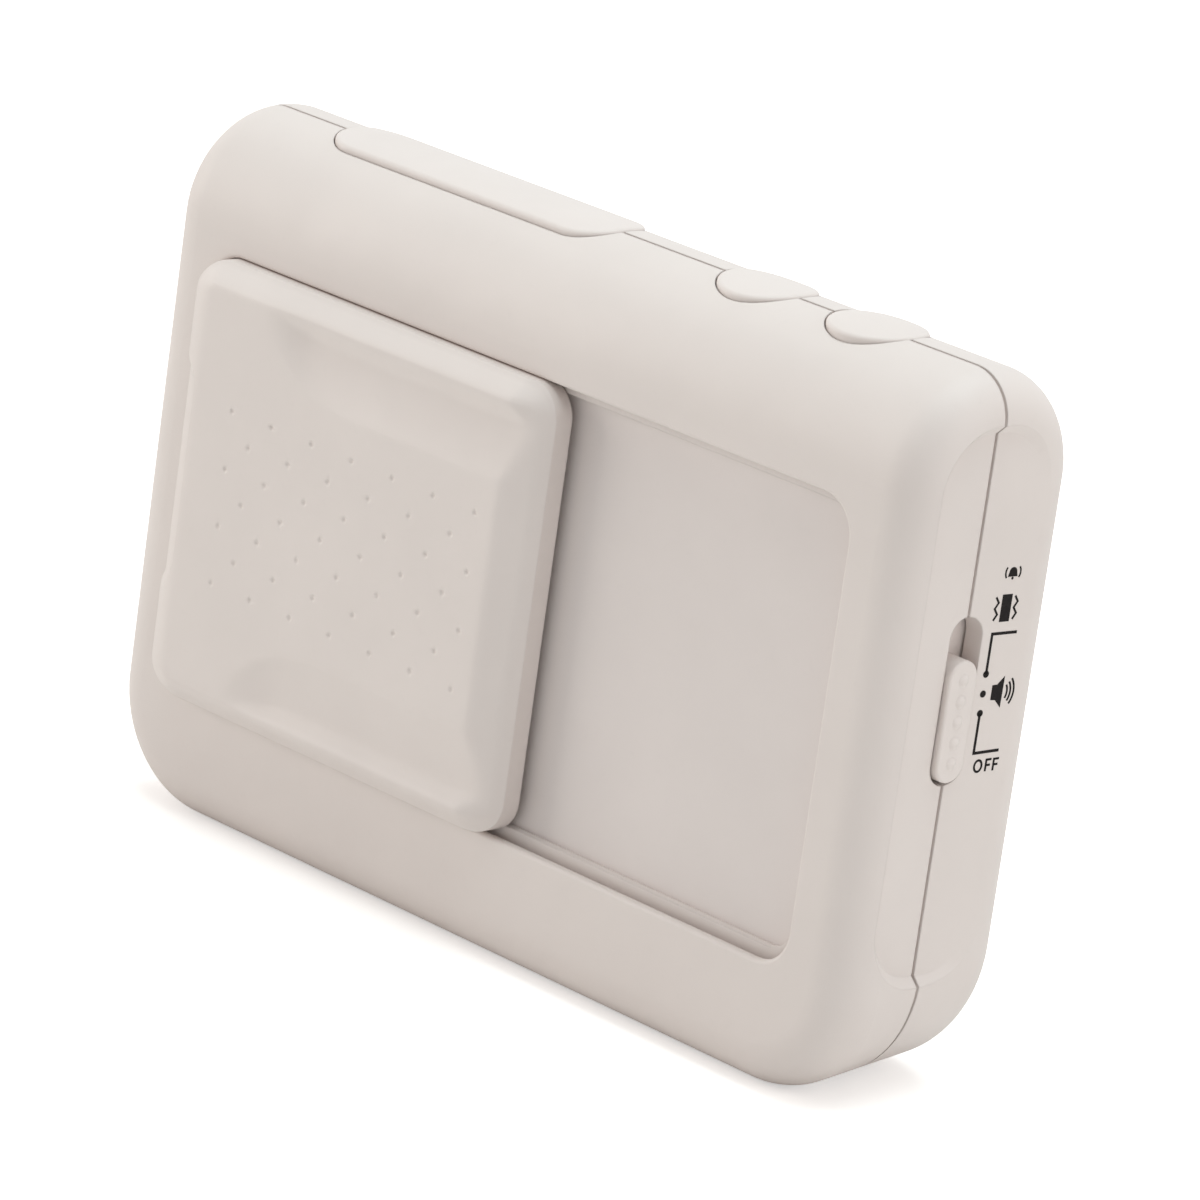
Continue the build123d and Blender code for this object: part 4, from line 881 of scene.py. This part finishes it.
def skin_grid():
    """The grid's X and Z lines, with extra ones at the dimples, the start of the bevel and the notch."""
    steps = range(-2 * DIMPLE_REACH, 2 * DIMPLE_REACH + 1)
    columns = [DIMPLE_MIDDLE[0] + step * DIMPLE_PITCH[0] / 2 for step in steps]
    rows = [DIMPLE_MIDDLE[1] + step * DIMPLE_PITCH[1] for step in range(-DIMPLE_REACH, DIMPLE_REACH + 1)]
    across = [x + line for x in columns for line in DIMPLE_LINES] + BEVEL_LINES + NOTCH_LINES
    along = [z + line for z in rows for line in DIMPLE_LINES]
    xs = grid_lines(COVER_LEFT, COVER_RIGHT, DENSE_AT_SIDES, across)
    zs = grid_lines(COVER_BOTTOM, COVER_TOP, DENSE_AT_ENDS, along)
    return xs, zs


def skin_front(cage):
    """The front as a grid, whose lines past a round corner are drawn in to the outline."""
    xs, zs = skin_grid()
    verts, within = {}, {}
    for i, grid_x in enumerate(xs):
        for k, grid_z in enumerate(zs):
            inside, x, z, _ = inside_outline(grid_x, grid_z)
            y = COVER_LOW.y + cover_drop(x, z)
            verts[i, k] = cage.verts.new((x * MM, y * MM, z * MM))
            within[i, k] = inside > TINY
    for i in range(len(xs) - 1):
        for k in range(len(zs) - 1):
            corners = ((i, k), (i + 1, k), (i + 1, k + 1), (i, k + 1))
            if any(within[corner] for corner in corners):
                cage.faces.new([verts[corner] for corner in corners])
    bmesh.ops.delete(cage, geom=[vert for vert in cage.verts if not vert.link_faces], context="VERTS")
    bmesh.ops.remove_doubles(cage, verts=cage.verts[:], dist=WELD)


def skin_back(cage):
    """Side walls from the front's rim to the back, the back rim, and the hollow behind the front."""
    back = COVER_HIGH.y
    middle_x, middle_z = PATTERN_MIDDLE[0] * MM, COVER_CENTRE[1] * MM
    for level, inset in ((back, 0.0), (back, COVER_WALL), (back - COVER_HOLLOW, 0.0)):
        rim = [edge for edge in cage.edges if edge.is_boundary]
        grown = bmesh.ops.extrude_edge_only(cage, edges=rim)["geom"]
        shrink_x, shrink_z = (1 - inset / half for half in COVER_HALF)
        for vert in (item for item in grown if isinstance(item, bmesh.types.BMVert)):
            vert.co.x = middle_x + (vert.co.x - middle_x) * shrink_x
            vert.co.y = level * MM
            vert.co.z = middle_z + (vert.co.z - middle_z) * shrink_z
    bmesh.ops.holes_fill(cage, edges=[edge for edge in cage.edges if edge.is_boundary], sides=0)


def cover_rails(cage):
    """The two thin rails that run in the tracks of the case."""
    left, right = COVER_LEFT + RAIL_INSET, COVER_RIGHT - RAIL_INSET
    for low, high in ((COVER_LOW.z, COVER_BOTTOM + RAIL_OVERLAP), (COVER_TOP - RAIL_OVERLAP, COVER_HIGH.z)):
        corners = ((left, low), (right, low), (right, high), (left, high))
        outline = [Vector((x, COVER_HIGH.y, z)) * MM for x, z in corners]
        prism(cage, outline, Vector((0, -RAIL_THICK * MM, 0)))


def cover_skin(cage):
    """The whole cover: front, walls and rails."""
    skin_front(cage)
    skin_back(cage)
    cover_rails(cage)


cover = new_piece("cover_skin", cover_skin, shared["cover_plastic"], "cover")
cover.data.polygons.foreach_set("use_smooth", [True] * len(cover.data.polygons))
cover.data.set_sharp_from_angle(angle=SHARP_TURN)
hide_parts("sliding_cover")


# Painted shade of the cross recesses of the four case screws: flat dark crosses on the heads, in millimetres,
# seen from the back
SCREW_PLACES = ((-47.5, 9.5), (47.5, 9.5), (-49.5, 67.5), (49.5, 67.5))
SCREW_HEAD_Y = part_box("case_screws")[1].y / MM
CROSS_LIFT = Vector((0, 0.012 * MM, 0))
CROSS_LONG, CROSS_WIDE = 1.35, 0.34
CROSS_END_SHARE = 0.7
CROSS_TURN, CROSS_TURN_STEP = 0.35, 0.6


def screw_crosses(cage):
    """A dark cross of four arms with tapered ends on every head, each turned its own way, as painted shade of
    its recess.
    """
    end = CROSS_WIDE * CROSS_END_SHARE
    arm = ((CROSS_LONG, -end), (CROSS_LONG, end), (CROSS_WIDE, CROSS_WIDE))
    for number, (x, z) in enumerate(SCREW_PLACES):
        outline = []
        for quarter in range(4):
            turn = CROSS_TURN + CROSS_TURN_STEP * number + quarter * pi / 2
            for along, across in arm:
                aside, up = along * cos(turn) - across * sin(turn), along * sin(turn) + across * cos(turn)
                outline.append(Vector((x + aside, SCREW_HEAD_Y, z + up)) * MM)
        prism(cage, outline, CROSS_LIFT)


new_piece("screw_crosses", screw_crosses, shared["screw_recess_shade"], "clock_body")


# Floor and backdrop in one plane; the camera sees it white, with the object's shadow
def pale_floor():
    half = FLOOR_SIZE / 2
    cage = bmesh.new()
    corners = ((-half, -half), (half, -half), (half, half), (-half, half))
    cage.faces.new([cage.verts.new((x, y, 0.0)) for x, y in corners])
    mesh = bpy.data.meshes.new("floor")
    cage.to_mesh(mesh)
    cage.free()
    floor = bpy.data.objects.new("floor", mesh)
    bpy.context.scene.collection.objects.link(floor)
    numbers = {"Base Color": solid(FLOOR_COLOUR), "Roughness": 0.9, "Specular IOR Level": 0.1}
    finish = Finish("floor", numbers)
    seen = finish.node("LightPath").outputs["Is Camera Ray"]
    finish.set("Emission Color", solid(WHITE))
    finish.set("Emission Strength", finish.maths("MULTIPLY", seen, FLOOR_GLOW))
    mesh.materials.append(finish.material)


def sky():
    """White to the camera and in gloss and clear parts, and the dimmer sky colour as light."""
    world = bpy.data.worlds.new("sky")
    bpy.context.scene.world = world
    world.use_nodes = True
    nodes = Nodes(world.node_tree)
    background = world.node_tree.nodes["Background"].inputs
    rays = nodes.node("LightPath").outputs
    seen = nodes.maths("MAXIMUM", rays["Is Camera Ray"], rays["Is Transmission Ray"])
    seen = nodes.maths("MAXIMUM", seen, rays["Is Glossy Ray"])
    nodes.feed(background["Color"], nodes.mix(seen, SKY_COLOUR, WHITE))
    nodes.feed(background["Strength"], nodes.span(seen, SKY_STRENGTH, 1.0))


def area_lamp(name, place, size, power, colour):
    """A soft square lamp."""
    lamp = bpy.data.lights.new(name, "AREA")
    lamp.size = size
    lamp.energy = power
    lamp.color = colour
    stand = bpy.data.objects.new(name, lamp)
    stand.location = place
    stand.rotation_mode = "QUATERNION"
    stand.rotation_quaternion = (LAMP_AIM - Vector(place)).to_track_quat("-Z", "Y")
    bpy.context.scene.collection.objects.link(stand)


def photograph_camera():
    lens = bpy.data.cameras.new("photograph")
    lens.lens = CAMERA_LENS
    lens.sensor_width = CAMERA_SENSOR
    lens.clip_start = CAMERA_CLIP
    camera = bpy.data.objects.new("photograph", lens)
    bpy.context.scene.collection.objects.link(camera)
    upright = CAMERA_AIM.to_track_quat("-Z", "Y")
    camera.rotation_mode = "QUATERNION"
    camera.rotation_quaternion = upright @ Quaternion((0, 0, 1), CAMERA_ROLL)
    camera.location = CAMERA_PLACE
    bpy.context.scene.camera = camera


pale_floor()
sky()
for name, values in LAMPS.items():
    area_lamp(name, *values)
photograph_camera()
bpy.context.scene.view_settings.view_transform = "Standard"
